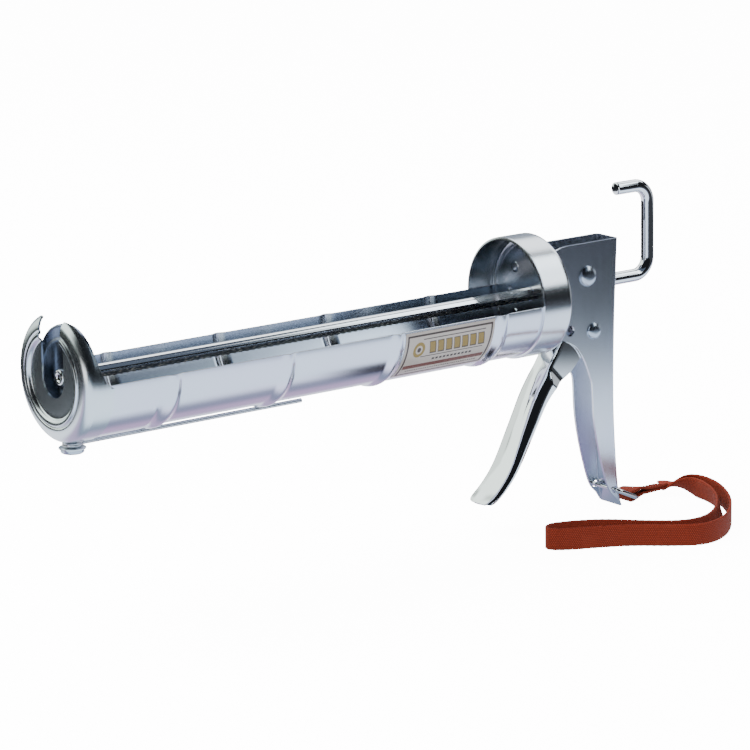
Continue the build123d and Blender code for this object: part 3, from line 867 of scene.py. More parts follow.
# ---------------------------------------------------------------- lanyard
@dataclass
class Lanyard:
    """Ring through the handle's tip, sewn end of the strap and hand loop.

    Attributes:
        width: Width of the webbing.
        sheet: Its thickness.
        length: Length of the hand loop, from the sewn end and back to it.
        ring_at: Middle of the ring's front bar, x and z.
        ring_wire: Radius of the ring's wire.
        ring_width: Distance between the middles of its sides.
        ring_depth: Distance between the middles of its front and rear bars.
        ring_dip: How far it hangs down from level, in degrees.
        sewn: x of the sewn end's rear face.
        twist: Stretch at each end of the loop over which it stands up.
        lean: How far the returning strand leans over at most, as a slope.
        lean_run: Stretch of the returning strand that leans.
        route: Places of the loop's line on the floor: x, y and height over it.
    """

    width: float = 10.0
    sheet: float = 1.3
    length: float = 350.7
    ring_at: tuple[float, float] = (298.9, -97.5)
    ring_wire: float = 1.1
    ring_width: float = 20.4
    ring_depth: float = 12.4
    ring_dip: float = 25.0
    sewn: float = 331.14
    twist: float = 22.0
    lean: float = 0.28
    lean_run: float = 95.0
    route: list[tuple[float, float, float]] = field(default_factory=lambda: [
        (331.7, -2.5, 4.3), (336.4, -3.6, 4.7), (342.3, -10.5, 5.1), (343.0, -25.5, 5.1),
        (335.0, -44.0, 5.1), (321.5, -62.5, 5.1),
        (304.5, -77.5, 5.1), (288.0, -82.5, 5.1), (274.5, -73.0, 5.1), (262.0, -61.5, 5.1),
        (247.5, -54.0, 5.1),
        (235.0, -48.5, 5.1), (228.5, -42.5, 5.1), (234.5, -36.0, 5.1), (246.0, -39.5, 5.1),
        (259.5, -47.0, 5.1),
        (271.5, -61.0, 5.1), (285.5, -72.5, 5.1), (300.5, -71.5, 5.1), (315.5, -61.0, 5.1),
        (329.0, -45.5, 5.1),
        (337.0, -29.5, 5.1), (338.6, -15.0, 5.1), (335.6, -5.4, 3.9), (331.7, -2.5, 2.9)])

    def spline(self, places: Places, name: str) -> list[Vector]:
        """Read the points of a smooth line whose control places are given.

        Args:
            places: Control places: bench x, bench y and height over the floor.
            name: Name for the data.

        Returns:
            Points along the line, in metres.
        """
        curve = bpy.data.curves.new(name, "CURVE")
        curve.dimensions = "3D"
        curve.resolution_u = 8
        line = curve.splines.new("NURBS")
        line.points.add(len(places) - 1)
        for point, (x, y, z) in zip(line.points, places):
            point.co = (*bench(x, y, z - AXIS_Z), 1.0)
        line.order_u = 3
        line.use_endpoint_u = True
        read = plain(add_object(name, curve), name + "_line")
        points = [v.co.copy() for v in read.data.vertices]
        bpy.data.objects.remove(read)
        return points

    def band(self, name: str, line: Sequence[Vector], across: Callable[[float, Vector], Vector],
             finish: Finish, step: float = 0.8) -> Piece:
        """Weave a band along a line.

        Args:
            name: The piece's name.
            line: Points of its middle, in metres.
            across: Direction of its width for a distance along it in millimetres and the line's direction.
            finish: Its material.
            step: Distance between its sections in millimetres.

        Returns:
            The band, closed, with its weave's UV map.
        """
        run = sum((b - a).length for a, b in zip(line, line[1:])) / MM
        count = max(8, int(run / step))
        middle = [Vector(p) for p in evenly(line, count + 1)]
        half, thick = self.width / 2 * MM, self.sheet / 2 * MM
        section = []
        for k in range(9):
            section.append(((k / 4 - 1) * (half - thick * 0.6), 1.0))
        bulge = [(half - thick * 0.18, 0.72), (half, 0.0), (half - thick * 0.18, -0.72)]
        ring = [*section, *bulge, *[(w, -1.0) for w, _ in reversed(section)], *[(-w, -h) for w, h in bulge]]
        verts, weave = [], []
        for i, here in enumerate(middle):
            ahead = (middle[min(i + 1, count)] - middle[max(i - 1, 0)]).normalized()
            s = run * i / count
            wide = across(s, ahead)
            wide = (wide - ahead * wide.dot(ahead)).normalized()
            face = ahead.cross(wide)
            round_off = min(1.0, 0.35 + min(s, run - s) / 0.8)
            for w, h in ring:
                crown = 1.0 + 0.012 * sin(s * 2.1) * (abs(w) > half * 0.8)
                verts.append(here + wide * w * crown + face * h * thick * round_off)
                weave.append((s, w / MM))
        n = len(ring)
        faces = [(i * n + k, i * n + (k + 1) % n, (i + 1) * n + (k + 1) % n, (i + 1) * n + k)
                 for i in range(count) for k in range(n)]
        faces += [tuple(reversed(range(n))), tuple(range(count * n, count * n + n))]
        mesh = bpy.data.meshes.new(name)
        mesh.from_pydata(verts, [], faces)
        layer = mesh.uv_layers.new(name="weave")
        for loop in mesh.loops:
            layer.data[loop.index].uv = weave[loop.vertex_index]
        work = bmesh.new()
        work.from_mesh(mesh)
        bmesh.ops.recalc_face_normals(work, faces=work.faces)
        work.to_mesh(mesh)
        work.free()
        mesh.materials.append(finish)
        mesh.polygons.foreach_set("use_smooth", [True] * len(mesh.polygons))
        mesh.set_sharp_from_angle(angle=radians(60))
        return add_object(name, mesh)

    def build_strap(self, finishes: Finishes) -> None:
        """Args:
            finishes: The gun's materials.
        """
        line = self.spline(self.route, "hand_loop")
        run = sum((b - a).length for a, b in zip(line, line[1:])) / MM

        def across(s: float, ahead: Vector) -> Vector:
            """Upright along most of the loop, lying down towards its sewn ends.

            Args:
                s: Place along the line in millimetres.
                ahead: Direction of the line there.

            Returns:
                The band's direction across.
            """
            turned = min(1.0, min(s, run - s) / self.twist)
            stand = turned ** 2 * (3.0 - 2.0 * turned) * pi / 2
            side = 1.0 if s < run / 2 else -1.0
            flat = Vector((ahead.y, -ahead.x, 0.0)) * side
            over = self.lean * sin(pi * min(1.0, max(0.0, (run - s) / self.lean_run))) * (s > run / 2)
            return Z_AXIS * sin(stand) + flat * (cos(stand) + over)

        strap = self.band("hand_strap", line, across, finishes.webbing)
        hand_over(strap, "lanyard", ["lanyard_strap"])
        sewn = self.build_sewn_end(finishes)
        LOG.info("strap line %.1f mm of %.1f mm", run, self.length)

    def build_sewn_end(self, finishes: Finishes) -> Piece:
        """Make the end that is wrapped round the ring's bar and sewn on itself.

        Returns:
            The sewn end.
        """
        dip = radians(self.ring_dip)
        bx = self.ring_at[0] + self.ring_depth * cos(dip)
        bz = self.ring_at[1] - self.ring_depth * sin(dip)
        r = self.ring_wire + 0.3 + self.sheet / 2
        floor, seam = -AXIS_Z, self.sewn + 0.6
        low = [(seam, floor + 2.9), (bx + 15.0, floor + 2.7), (bx + 10.0, floor + 2.5),
               (bx + 5.0, floor + 2.3)]
        high = [(bx + 5.0, bz + 2.3), (bx + 10.0, floor + 4.3), (bx + 15.0, floor + 4.1), (seam, floor + 4.3)]
        turn = [(bx + r * sin(t), bz - r * cos(t)) for t in np.linspace(-0.25, -pi + 0.35, 9)]
        line = [bench(x, -2.5, z) for x, z in smooth_line([*low, *turn, *high], 4)]
        total = sum((q - p).length for p, q in zip(line, line[1:])) / MM

        def across(s: float, ahead: Vector) -> Vector:
            """Level on the bar, tipped away from it towards the seam."""
            tip = 0.24 * min(1.0, max(0.0, abs(s - total / 2) - 5.0) / 5.0)
            return Vector((0, cos(tip), -sin(tip)))

        sewn = self.band("strap_sewn_wrap", line, across, finishes.webbing)
        hand_over(sewn, "lanyard", ["strap_sewn_end"])
        top = floor + 4.2
        self.build_stitches(finishes, bx, top + self.sheet / 2)
        return sewn

    def build_stitches(self, finishes: Finishes, bx: float, top: float) -> None:
        """Sew a box of short stitches through the layers.

        Args:
            finishes: The gun's finishes.
            bx: x of the ring's bar.
            top: Height of the webbing's upper face.
        """
        recipe = Recipe("stitches")
        pitch = recipe.size("Pitch", 1.5)
        radius = recipe.size("Thread radius", 0.24)
        line = recipe.node("GeometryNodeResampleCurve", {"Curve": recipe.geometry(), "Length": pitch * MM},
                           mode="LENGTH")
        bead = recipe.node("GeometryNodeMeshUVSphere", {"Segments": 8, "Rings": 5, "Radius": MM})
        long = recipe.node("GeometryNodeTransform", {
            "Geometry": recipe.out(bead, "Mesh"),
            "Scale": recipe.join(radius * 0.9, radius * 0.8, pitch * 0.40)})
        turn = recipe.node("FunctionNodeAlignRotationToVector", {
            "Vector": recipe.out(recipe.node("GeometryNodeInputTangent"))}, axis="Z")
        lay = recipe.node("GeometryNodeInstanceOnPoints", {
            "Points": recipe.out(line), "Instance": recipe.out(long), "Rotation": recipe.out(turn)})
        x0, x1 = bx + 10.4, bx + 17.6
        y0, y1 = -6.3, 1.3
        runs = [((x0, y0), (x1, y0)), ((x1, y0), (x1, y1)), ((x1, y1), (x0, y1)), ((x0, y1), (x0, y0)),
                ((x0, y0), (x1, y1)), ((x0, y1), (x1, y0))]
        curve = line_data("stitch_lines",
                          [[(x, y, top - 0.24 * (y + 2.5) + 0.02) for x, y in run] for run in runs])
        made = recipe.make("strap_stitches", recipe.out(lay), finishes.thread, curve)
        made.data.uv_layers.new(name="weave")
        hand_over(made, "lanyard", [])

    def build_ring(self, finishes: Finishes) -> None:
        """Bend the ring's wire.

        Args:
            finishes: The gun's materials.
        """
        dip = radians(self.ring_dip)
        x, z = self.ring_at
        rear = (x + self.ring_depth * cos(dip), z - self.ring_depth * sin(dip))
        half = self.ring_width / 2
        corners = [(x, 0, z), (x, half, z), (rear[0], half, rear[1]), (rear[0], -half, rear[1]),
                   (x, -half, z), (x, 0, z)]
        ring = wire_piece("ring", rounded_path(corners, 2.4), self.ring_wire, finishes.bright, closed=True)
        hand_over(ring, "lanyard", ["lanyard_ring"])


def wire_piece(name: str, path: Sequence[Vector], radius: float, finish: Finish, closed: bool = False,
               sides: int = 20) -> Piece:
    """Sweep a round wire along a path with Geometry Nodes.

    Args:
        name: The piece's name.
        path: Places in bench millimetres.
        radius: The wire's radius.
        finish: Its material.
        closed: The path ends where it starts.
        sides: Stretches round the wire.

    Returns:
        The wire as a plain mesh.
    """
    curve = line_data(name + "_path", [path[:-1] if closed else path], closed)
    recipe = Recipe(name + "_wire")
    rim = recipe.node("GeometryNodeCurvePrimitiveCircle", {
        "Resolution": recipe.size("Sides", sides), "Radius": recipe.size("Radius", radius) * MM})
    tube = recipe.node("GeometryNodeCurveToMesh", {
        "Curve": recipe.geometry(), "Profile Curve": recipe.out(rim, "Curve"), "Fill Caps": True})
    made = recipe.make(name, recipe.out(tube), finish, curve)
    made.data.set_sharp_from_angle(angle=radians(45))
    return made


# ---------------------------------------------------------------- barrel
@dataclass
class Barrel:
    """Cradle, front cap, rear collar and label."""

    inside: float = 25.6
    sheet: float = 0.8
    start: float = 6.4
    end: float = 255.6
    first_rib: float = 44.5
    rib_pitch: float = 57.8
    rib_height: float = 1.3
    rib_width: float = 8.6
    panel_end: float = 38.0
    panel_height: float = 0.6
    cap_sheet: float = 0.9
    cap_rim: float = 27.35
    slot: float = 8.25
    skirt: float = 14.0
    collar_rim: float = 27.65
    disc: float = 256.8
    rivet_y: float = 10.6
    rivet_z: float = 11.0

    def build_cradle(self, finishes: Finishes) -> None:
        """Press the half-round cradle by its rule: radius by distance along it and angle round it.

        Args:
            finishes: The gun's materials.
        """
        recipe = Recipe("cradle_rule")
        length = recipe.size("Length", self.end - self.start)
        radius = recipe.size("Radius", self.inside + self.sheet)
        pitch = recipe.size("Rib pitch", self.rib_pitch)
        width = recipe.size("Rib width", self.rib_width)
        height = recipe.size("Rib height", self.rib_height)
        first = recipe.size("First rib", self.first_rib)
        panel = recipe.size("Panel end", self.panel_end)
        raised = recipe.size("Panel height", self.panel_height)
        flat = recipe.node("GeometryNodeMeshGrid", {
            "Size X": 1.0, "Size Y": 1.0, "Vertices X": recipe.size("Stations", 380),
            "Vertices Y": recipe.size("Round", 61)})
        u, v, _ = recipe.split(recipe.out(recipe.node("GeometryNodeInputPosition")))
        x = (u + 0.5) * length + self.start
        turn = (v + 0.5) * pi
        away = recipe.math("ABSOLUTE", recipe.math("FRACT", (x - first) / pitch + 0.5) - 0.5) * pitch
        crown = recipe.math("COSINE", recipe.math("MINIMUM", away / width * 2.0, 1.0) * pi) * 0.5 + 0.5
        low = recipe.math("ABSOLUTE", (v * pi)) * radius
        qx = recipe.math("MAXIMUM", x - (panel - 7.0), 0.0)
        qy = recipe.math("MAXIMUM", low - (radius * radians(66.0) - 7.0), 0.0)
        rim = recipe.math("SQRT", qx * qx + qy * qy) - 7.0
        plate = recipe.step(rim, 0.55, -0.55)
        r = radius + crown * height + plate * raised
        place = recipe.join((x - MID_X) * MM, recipe.math("COSINE", turn) * r * MM,
                            (recipe.math("SINE", turn) * r * -1.0 + AXIS_Z) * MM)
        shape = recipe.node("GeometryNodeSetPosition",
                            {"Geometry": recipe.out(flat, "Mesh"), "Position": place})
        sheet = recipe.make("cradle_trough", recipe.out(shape), finishes.barrel)
        sheet.data.flip_normals()
        normal = sum((p.normal for p in sheet.data.polygons if abs(p.center.y) < 0.003), Vector())
        if normal.z > 0:
            sheet.data.flip_normals()
        piece = dress(sheet, finishes.barrel, sheet=self.sheet, edge=0.18, flat=False)
        hand_over(piece, "gun_body", ["cradle"])

    def cap_edge(self, x: float, r: float) -> float:
        """Angle from the top at which the cap's sheet begins.

        Args:
            x: Distance behind the nozzle face.
            r: Distance from the axis.

        Returns:
            The angle in radians.
        """
        slot = asin(min(1.0, self.slot / r))
        steps = [(1.9, 40.0), (2.3, 25.4), (3.4, 24.9), (4.4, 23.8), (5.0, 20.4), (9.6, 1.2), (11.4, 0.9),
                 (11.9, 0.2),
                 (12.5, -1.0), (40.0, -1.2)]
        top = np.interp(x, [s[0] for s in steps], [s[1] for s in steps])
        return max(slot, acos(max(-1.0, min(1.0, top / r))))

    def build_cap(self, finishes: Finishes) -> None:
        """Turn the front cap and cut its slot and slanted skirt.

        Args:
            finishes: The gun's materials.
        """
        rim = self.cap_rim
        outline = [(1.6, self.slot), (1.6, 10.5), (1.6, 13.5), (1.6, 16.2), (1.4, 17.0), (0.6, 17.6),
                   (0.1, 18.2),
                   (0.0, 19.0), (0.1, 19.7), (0.75, 20.1), (0.75, 20.5), (0.45, 21.2), (0.55, 22.4),
                   (0.9, 23.8),
                   (1.5, 25.1), (2.4, 26.2), (3.4, 26.9), (4.6, rim - 0.15), (5.1, rim - 0.08), (5.6, rim),
                   (7.6, rim),
                   (9.6, rim), (11.4, rim), (11.9, rim), (12.2, rim), (12.5, rim), (self.skirt, rim)]
        line = smooth_line(outline, 5)
        line = [(max(0.0, x), min(r, rim)) for x, r in line]
        steps = 56
        rows = []
        for x, r in line:
            edge = self.cap_edge(x, r)
            turn = [edge + (2 * pi - 2 * edge) * i / (2 * steps) for i in range(2 * steps + 1)]
            rows.append([(x, -r * sin(t), r * cos(t)) for t in turn])
        cap = dress(Blank().grid(rows).carrier("nozzle_cap", close=False), finishes.cap,
                    sheet=self.cap_sheet, edge=0.2)
        hand_over(cap, "gun_body", ["front_cap"])

    def build_collar(self, finishes: Finishes) -> None:
        """Turn the rear collar and its stepped disc.

        Args:
            finishes: The gun's materials.
        """
        back, rim, step = self.disc, self.collar_rim, 23.5
        profile = [(back - 16.0, rim - 1.2), (back - 16.0, rim - 0.9), (back - 15.7, rim - 0.05),
                   (back - 15.4, rim)]
        profile += [(x, rim) for x in np.linspace(back - 14.5, back - 1.8, 12)]
        profile += [(back - 0.9 + 0.9 * sin(t), rim - 0.9 + 0.9 * cos(t)) for t in np.linspace(0.3, pi / 2,
                                                                                               5)]
        profile += [(back, 25.0), (back, step + 0.2), (back - 0.15, step - 0.2), (back - 0.65, step - 0.8),
                    (back - 0.8, step - 1.2), (back - 0.8, 15.0), (back - 0.8, 8.0), (back - 0.8, 3.3)]
        inner = [(back - 2.0, 3.3), (back - 2.0, 8.0), (back - 2.0, 15.0), (back - 2.0, step - 1.3),
                 (back - 1.85, step - 0.9), (back - 1.35, step - 0.3), (back - 1.2, step + 0.1),
                 (back - 1.2, 25.4),
                 (back - 1.6, rim - 1.5), (back - 2.2, rim - 1.2)]
        inner += [(x, rim - 1.2) for x in np.linspace(back - 3.2, back - 15.4, 10)]
        blank = Blank().turned([*profile, *inner, profile[0]], ORIGIN, X_AXIS, 128)
        holes = Blank()
        for y in (-14.1, 14.1):
            holes.turned([(-4, 0), (-4, 1.6), (4, 1.6), (4, 0)], Vector((back - 1.4, y, 0)), X_AXIS, 24)
        collar = dress(blank.carrier("barrel_collar"), finishes.collar, holes=holes.carrier("collar_holes"),
                       edge=0.0)
        hand_over(collar, "gun_body", ["rear_collar"])

    def build_rivets(self, finishes: Finishes) -> None:
        """Set the four rivets that hold the handle to the disc, as instances on their places.

        Args:
            finishes: The gun's materials.
        """
        seat = self.disc - 0.8
        profile = [(-1.65, 0.0), (-1.65, 1.5), (-1.5, 2.3), (-1.2, 2.75), (-1.2, 1.6), (1.2, 1.6),
                   (1.2, 2.8), (1.6, 2.6),
                   (1.95, 1.9), (2.1, 0.9), (2.1, 0.0)]
        one = Blank().turned(profile, ORIGIN, X_AXIS, 28).carrier("collar_rivet_shape")
        one.data.transform(Matrix.Translation(-bench(0, 0, 0)))
        recipe = Recipe("rivet_setting")
        wide = recipe.size("Spacing across", 2 * self.rivet_y)
        high = recipe.size("Spacing up", 2 * self.rivet_z)
        grid = recipe.node("GeometryNodeMeshGrid", {"Size X": wide * MM, "Size Y": high * MM, "Vertices X": 2,
                                                    "Vertices Y": 2})
        u, v, _ = recipe.split(recipe.out(recipe.node("GeometryNodeInputPosition")))
        spot = bench(seat, 0, 0)
        moved = recipe.node("GeometryNodeSetPosition", {
            "Geometry": recipe.out(grid, "Mesh"), "Position": recipe.join(spot.x, u, v + spot.z)})
        rivet = recipe.node("GeometryNodeObjectInfo", {"Object": one})
        lay = recipe.node("GeometryNodeInstanceOnPoints", {
            "Points": recipe.out(moved), "Instance": recipe.out(rivet, "Geometry")})
        made = recipe.make("collar_rivet_set", recipe.out(lay), finishes.rivet)
        bpy.data.objects.remove(one)
        made.data.set_sharp_from_angle(angle=radians(40))
        hand_over(made, "gun_body", ["collar_rivets"])

    def build_label(self, finishes: Finishes) -> None:
        """Lay the sticker on the trough between two ribs.

        Args:
            finishes: The gun's materials.
        """
        mid = self.first_rib + 2.5 * self.rib_pitch
        half = self.rib_pitch / 2 - 4.3
        outer = self.inside + self.sheet
        top, arc = radians(2.0), radians(55.0)
        columns, rows = 24, 30
        blank, layout = Blank(), []
        sheet = []
        for j in range(rows + 1):
            turn = top + arc * j / rows
            row = []
            for i in range(columns + 1):
                u = i / columns
                row.append((mid - half + 2 * half * u, -(outer + 0.16) * cos(turn),
                            -(outer + 0.16) * sin(turn)))
                layout.append((u, 1 - j / rows))
            sheet.append(row)
        blank.grid(sheet)
        mesh = bpy.data.meshes.new("barrel_label")
        mesh.from_pydata([bench(*p) for p in blank.points], [], blank.faces)
        layer = mesh.uv_layers.new(name="print")
        for loop in mesh.loops:
            layer.data[loop.index].uv = layout[loop.vertex_index]
        label = add_object("barrel_label", mesh)
        if sum(p.normal.y for p in mesh.polygons) > 0:
            mesh.flip_normals()
        label = dress(label, finishes.film, sheet=0.14, edge=0.0)
        hand_over(label, "gun_body", ["label"])


# ---------------------------------------------------------------- handle
@dataclass
class HandleFrame:
    """Channel handle with its rivets."""

    width: float = 15.0
    sheet: float = 1.2
    bend: float = 1.9
    pivot: tuple[float, float] = (286.4, -20.5)
    guide: tuple[float, float] = (282.8, 5.52)
    spine: list[tuple[float, float]] = field(default_factory=lambda: [
        (303.6, -106.0), (301.3, -92.0), (299.2, -58.0), (299.6, -18.0), (301.3, 20.8)])
    nose: list[tuple[float, float]] = field(default_factory=lambda: [
        (302.6, -106.0), (299.6, -101.6), (296.3, -98.2), (293.6, -92.0), (289.4, -77.0), (286.6, -62.0),
        (285.6, -46.1),
        (284.4, -42.0), (281.2, -34.0), (277.0, -27.5), (272.4, -24.2), (268.2, -22.6)])

    def build_channel(self, finishes: Finishes) -> None:
        """Fold the channel from its side view.

        Args:
            finishes: The gun's materials.
        """
        spine = np.array(smooth_line(self.spine, 14))
        nose = np.array([*smooth_line(self.nose, 6), (262.0, -22.0), (257.4, -21.5), (256.2, -19.5),
                         (256.0, -16.0),
                         (256.0, 16.0), (257.0, 16.9), (264.5, 19.6), (267.5, 20.45), (271.0, 20.8)])
        heights = [-105.65, *np.linspace(-104.5, -24.0, 54), -22.6, -22.0, -21.5, -19.5, -16.0,
                   *np.linspace(-13.0, 13.0, 12), 16.0, 16.9, 18.2, 19.6, 20.45, 20.8]
        half = self.width / 2
        rows = []
        for z in heights:
            xf = float(np.interp(z, nose[:, 1], nose[:, 0]))
            xb = float(np.interp(z, spine[:, 1], spine[:, 0]))
            bend = min(self.bend, max(0.3, (xb - xf) * 0.8))
            side = [(xf + (xb - bend - xf) * t, -half) for t in (0, 0.2, 0.4, 0.6, 0.8, 0.95, 1)]
            arc = [(xb - bend + bend * sin(t), -half + bend - bend * cos(t)) for t in np.linspace(0, pi / 2,
                                                                                                  7)[1:]]
            run = [*side, *arc, (xb, -half * 0.4), (xb, 0.0)]
            run += [(x, -y) for x, y in reversed(run[:-1])]
            rows.append([(x, y, z) for x, y in run])
        blank = Blank().grid(rows)
        carrier = blank.carrier("handle_channel", close=False)
        if sum(p.normal.y * p.area for p in carrier.data.polygons if p.center.y < -0.007) > 0:
            carrier.data.flip_normals()
        holes = Blank()
        holes.turned([(-10, 0), (-10, 2.5), (10, 2.5), (10, 0)], Vector((272.3, 0, -18.6)), Y_AXIS, 32)
        holes.turned([(-5, 0), (-5, 3.2), (5, 3.2), (5, 0)], Vector((300.0, 0, 0)), X_AXIS, 32)
        holes.turned([(-10, 0), (-10, 1.7), (10, 1.7), (10, 0)], Vector((298.9, 0, -97.5)), Y_AXIS, 20)
        channel = dress(carrier, finishes.frame, sheet=self.sheet, holes=holes.carrier("channel_holes"),
                        edge=0.22, rounds=3)
        hand_over(channel, "gun_body", ["handle_frame"])
        ears = Blank()
        for side in (-1, 1):
            corner = [(6.2, -15.9), (14.9, -15.9), (15.6, -15.6), (15.95, -14.9), (15.95, 14.9),
                      (15.6, 15.6), (14.9, 15.9),
                      (6.2, 15.9)]
            front = [(256.05, side * y, z) for y, z in corner]
            rear = [(257.2, side * y, z) for y, z in corner]
            base = len(ears.points)
            ears.points += [Vector(p) for p in (*front, *rear)]
            n = len(corner)
            ears.faces += [tuple(base + i for i in range(n)), tuple(base + n + i for i in reversed(range(n)))]
            ears.faces += [(base + i, base + n + i, base + n + (i + 1) % n,
                            base + (i + 1) % n) for i in range(n)]
        flange = dress(ears.carrier("handle_flanges"), finishes.frame, edge=0.2)
        hand_over(flange, "gun_body", [])

    def build_rivets(self, finishes: Finishes) -> None:
        """Turn the two rivets across the channel.

        Args:
            finishes: The gun's materials.
        """
        for name, (x, z), head, rise, node in (
                ("pivot_rivet", self.pivot, 3.9, 1.7, "trigger_pivot_rivet"),
                ("guide_rivet", self.guide, 4.75, 2.0, "rod_guide_rivet")):
            half = self.width / 2
            turns = np.linspace(0.12, pi / 2 - 1e-3, 10)
            dome = [(half, head)] + [(half + rise * sin(t), head * cos(t) ** 0.72) for t in turns]
            dome[-1] = (half + rise, 0.0)
            profile = [(-h, r) for h, r in reversed(dome)] + [(-half, 2.4), (half, 2.4)] + dome
            rivet = turned_piece(name, profile, Vector((x, 0, z)), Y_AXIS, 48, finishes.rivet)
            hand_over(rivet, "gun_body", [node])


# ---------------------------------------------------------------- rod and piston
@dataclass
class RodAndPiston:
    """Toothed push rod with its hook, and the piston it pushes."""

    radius: float = 3.0
    seat: float = 7.8
    hook: tuple[float, float, float] = (325.0, 41.8, 305.3)
    bend: float = 8.0
    pitch: float = 3.2
    depth: float = 0.75
    teeth: tuple[float, float] = (22.0, 290.8)

    def build_rod(self, finishes: Finishes) -> None:
        """Draw the rod, then press its teeth in with a rule along it.

        Args:
            finishes: The gun's materials.
        """
        hx, hz, tip = self.hook
        path = [Vector((self.seat, 0, 0)), Vector((self.seat + 0.3, 0, 0))]
        first, last = self.teeth
        count = int(round((last - first) / self.pitch))
        for i in range(count):
            path += [Vector((first + i * self.pitch + d, 0, 0)) for d in (0.0, 0.18)]
        path.append(Vector((last, 0, 0)))
        path += rounded_path([(last + 2, 0, 0), (hx, 0, 0), (hx, 0, hz), (tip + 0.8, 0, hz)], self.bend, 14)
        curve = line_data("rod_path", [path])
        recipe = Recipe("ratchet_rod")
        radius = recipe.size("Radius", self.radius)
        pitch = recipe.size("Tooth pitch", self.pitch)
        depth = recipe.size("Tooth depth", self.depth)
        start = recipe.size("First tooth", first)
        rim = recipe.node("GeometryNodeCurvePrimitiveCircle", {"Resolution": recipe.size("Sides", 40),
                                                               "Radius": radius * MM})
        tube = recipe.node("GeometryNodeCurveToMesh",
                           {"Curve": recipe.geometry(), "Profile Curve": recipe.out(rim, "Curve"),
                                                       "Fill Caps": True})
        px, py, pz = recipe.split(recipe.out(recipe.node("GeometryNodeInputPosition")))
        x = px / MM + MID_X
        z = pz / MM - AXIS_Z
        along = recipe.math("FRACT", (x - start) / pitch + 0.002)
        cut = recipe.math("MINIMUM", along / 0.055, (1.0 - along) / 0.945) * depth
        here = recipe.step(x, first - 0.01, first + 0.01) * recipe.step(x, last + 0.01, last - 0.01)
        floor = recipe.math("MAXIMUM", cut, 0.0) * here - radius
        raised = recipe.math("MAXIMUM", z, floor)
        pick = here * raised + (1.0 - here) * z
        shaped = recipe.node("GeometryNodeSetPosition", {
            "Geometry": recipe.out(tube), "Position": recipe.join(px, py, (pick + AXIS_Z) * MM)})
        rod = recipe.make("hooked_rod", recipe.out(shaped), finishes.rod, curve)
        rod.data.set_sharp_from_angle(angle=radians(28))
        knob = [(0.0, self.radius), (-0.2, self.radius - 0.05), (-0.42, self.radius - 0.25),
                (-0.58, self.radius - 0.7),
                (-0.68, self.radius - 1.3), (-0.76, self.radius - 2.0), (-0.8, self.radius - 2.6),
                (-0.8, 0.0)]
        tip_end = turned_piece("hook_tip", knob, Vector((tip + 0.8, 0, hz)), X_AXIS, 40, finishes.rod)
        hand_over(rod, "rod", ["push_rod"])
        hand_over(tip_end, "rod", [])

    def build_piston(self, finishes: Finishes) -> None:
        """Press the dished piston, its backing plate and the hollow rivet.

        Args:
            finishes: The gun's materials.
        """
        front, sheet = 5.3, 1.0
        face = [(front, 2.1), (front, 8.0), (front, 14.2), (front + 0.3, 15.1), (front + 1.2, 15.9),
                (front + 1.9, 16.3),
                (front + 2.2, 16.9), (front + 2.2, 20.2), (front + 2.35, 21.0), (front + 2.9, 21.6),
                (front + 3.6, 21.8),
                (front + 5.2, 21.8)]
        back = [(front + 5.2, 20.8), (front + 3.9, 20.8), (front + 3.2, 20.6), (front + 3.2, 16.6),
                (front + 2.7, 15.4),
                (front + 1.6, 14.9), (front + sheet, 14.0), (front + sheet, 8.0), (front + sheet, 2.1)]
        plate = turned_piece("piston_dish", [*face, *back, face[0]], ORIGIN, X_AXIS, 96, finishes.piston)
        hand_over(plate, "piston", ["piston_plate"])
        ring = [(6.35, 2.1), (6.35, 12.0), (7.75, 12.0), (7.75, 2.1), (6.35, 2.1)]
        backing = turned_piece("piston_backing", ring, ORIGIN, X_AXIS, 64, finishes.piston, edge=0.12)
        hand_over(backing, "piston", ["piston_backing_plate"])
        head = [(5.25, 3.5), (4.75, 3.5), (4.3, 3.3), (4.1, 2.9), (4.05, 2.4), (4.15, 1.7), (4.6, 1.25),
                (8.5, 1.2), (8.5, 0.0)]
        tail = [(14.7, 0.0), (14.7, 1.9), (5.25, 1.9), (5.25, 3.5)]
        rivet = turned_piece("piston_hollow_rivet", [*head, *tail], ORIGIN, X_AXIS, 40, finishes.bright)
        hand_over(rivet, "rod", ["piston_rivet"])


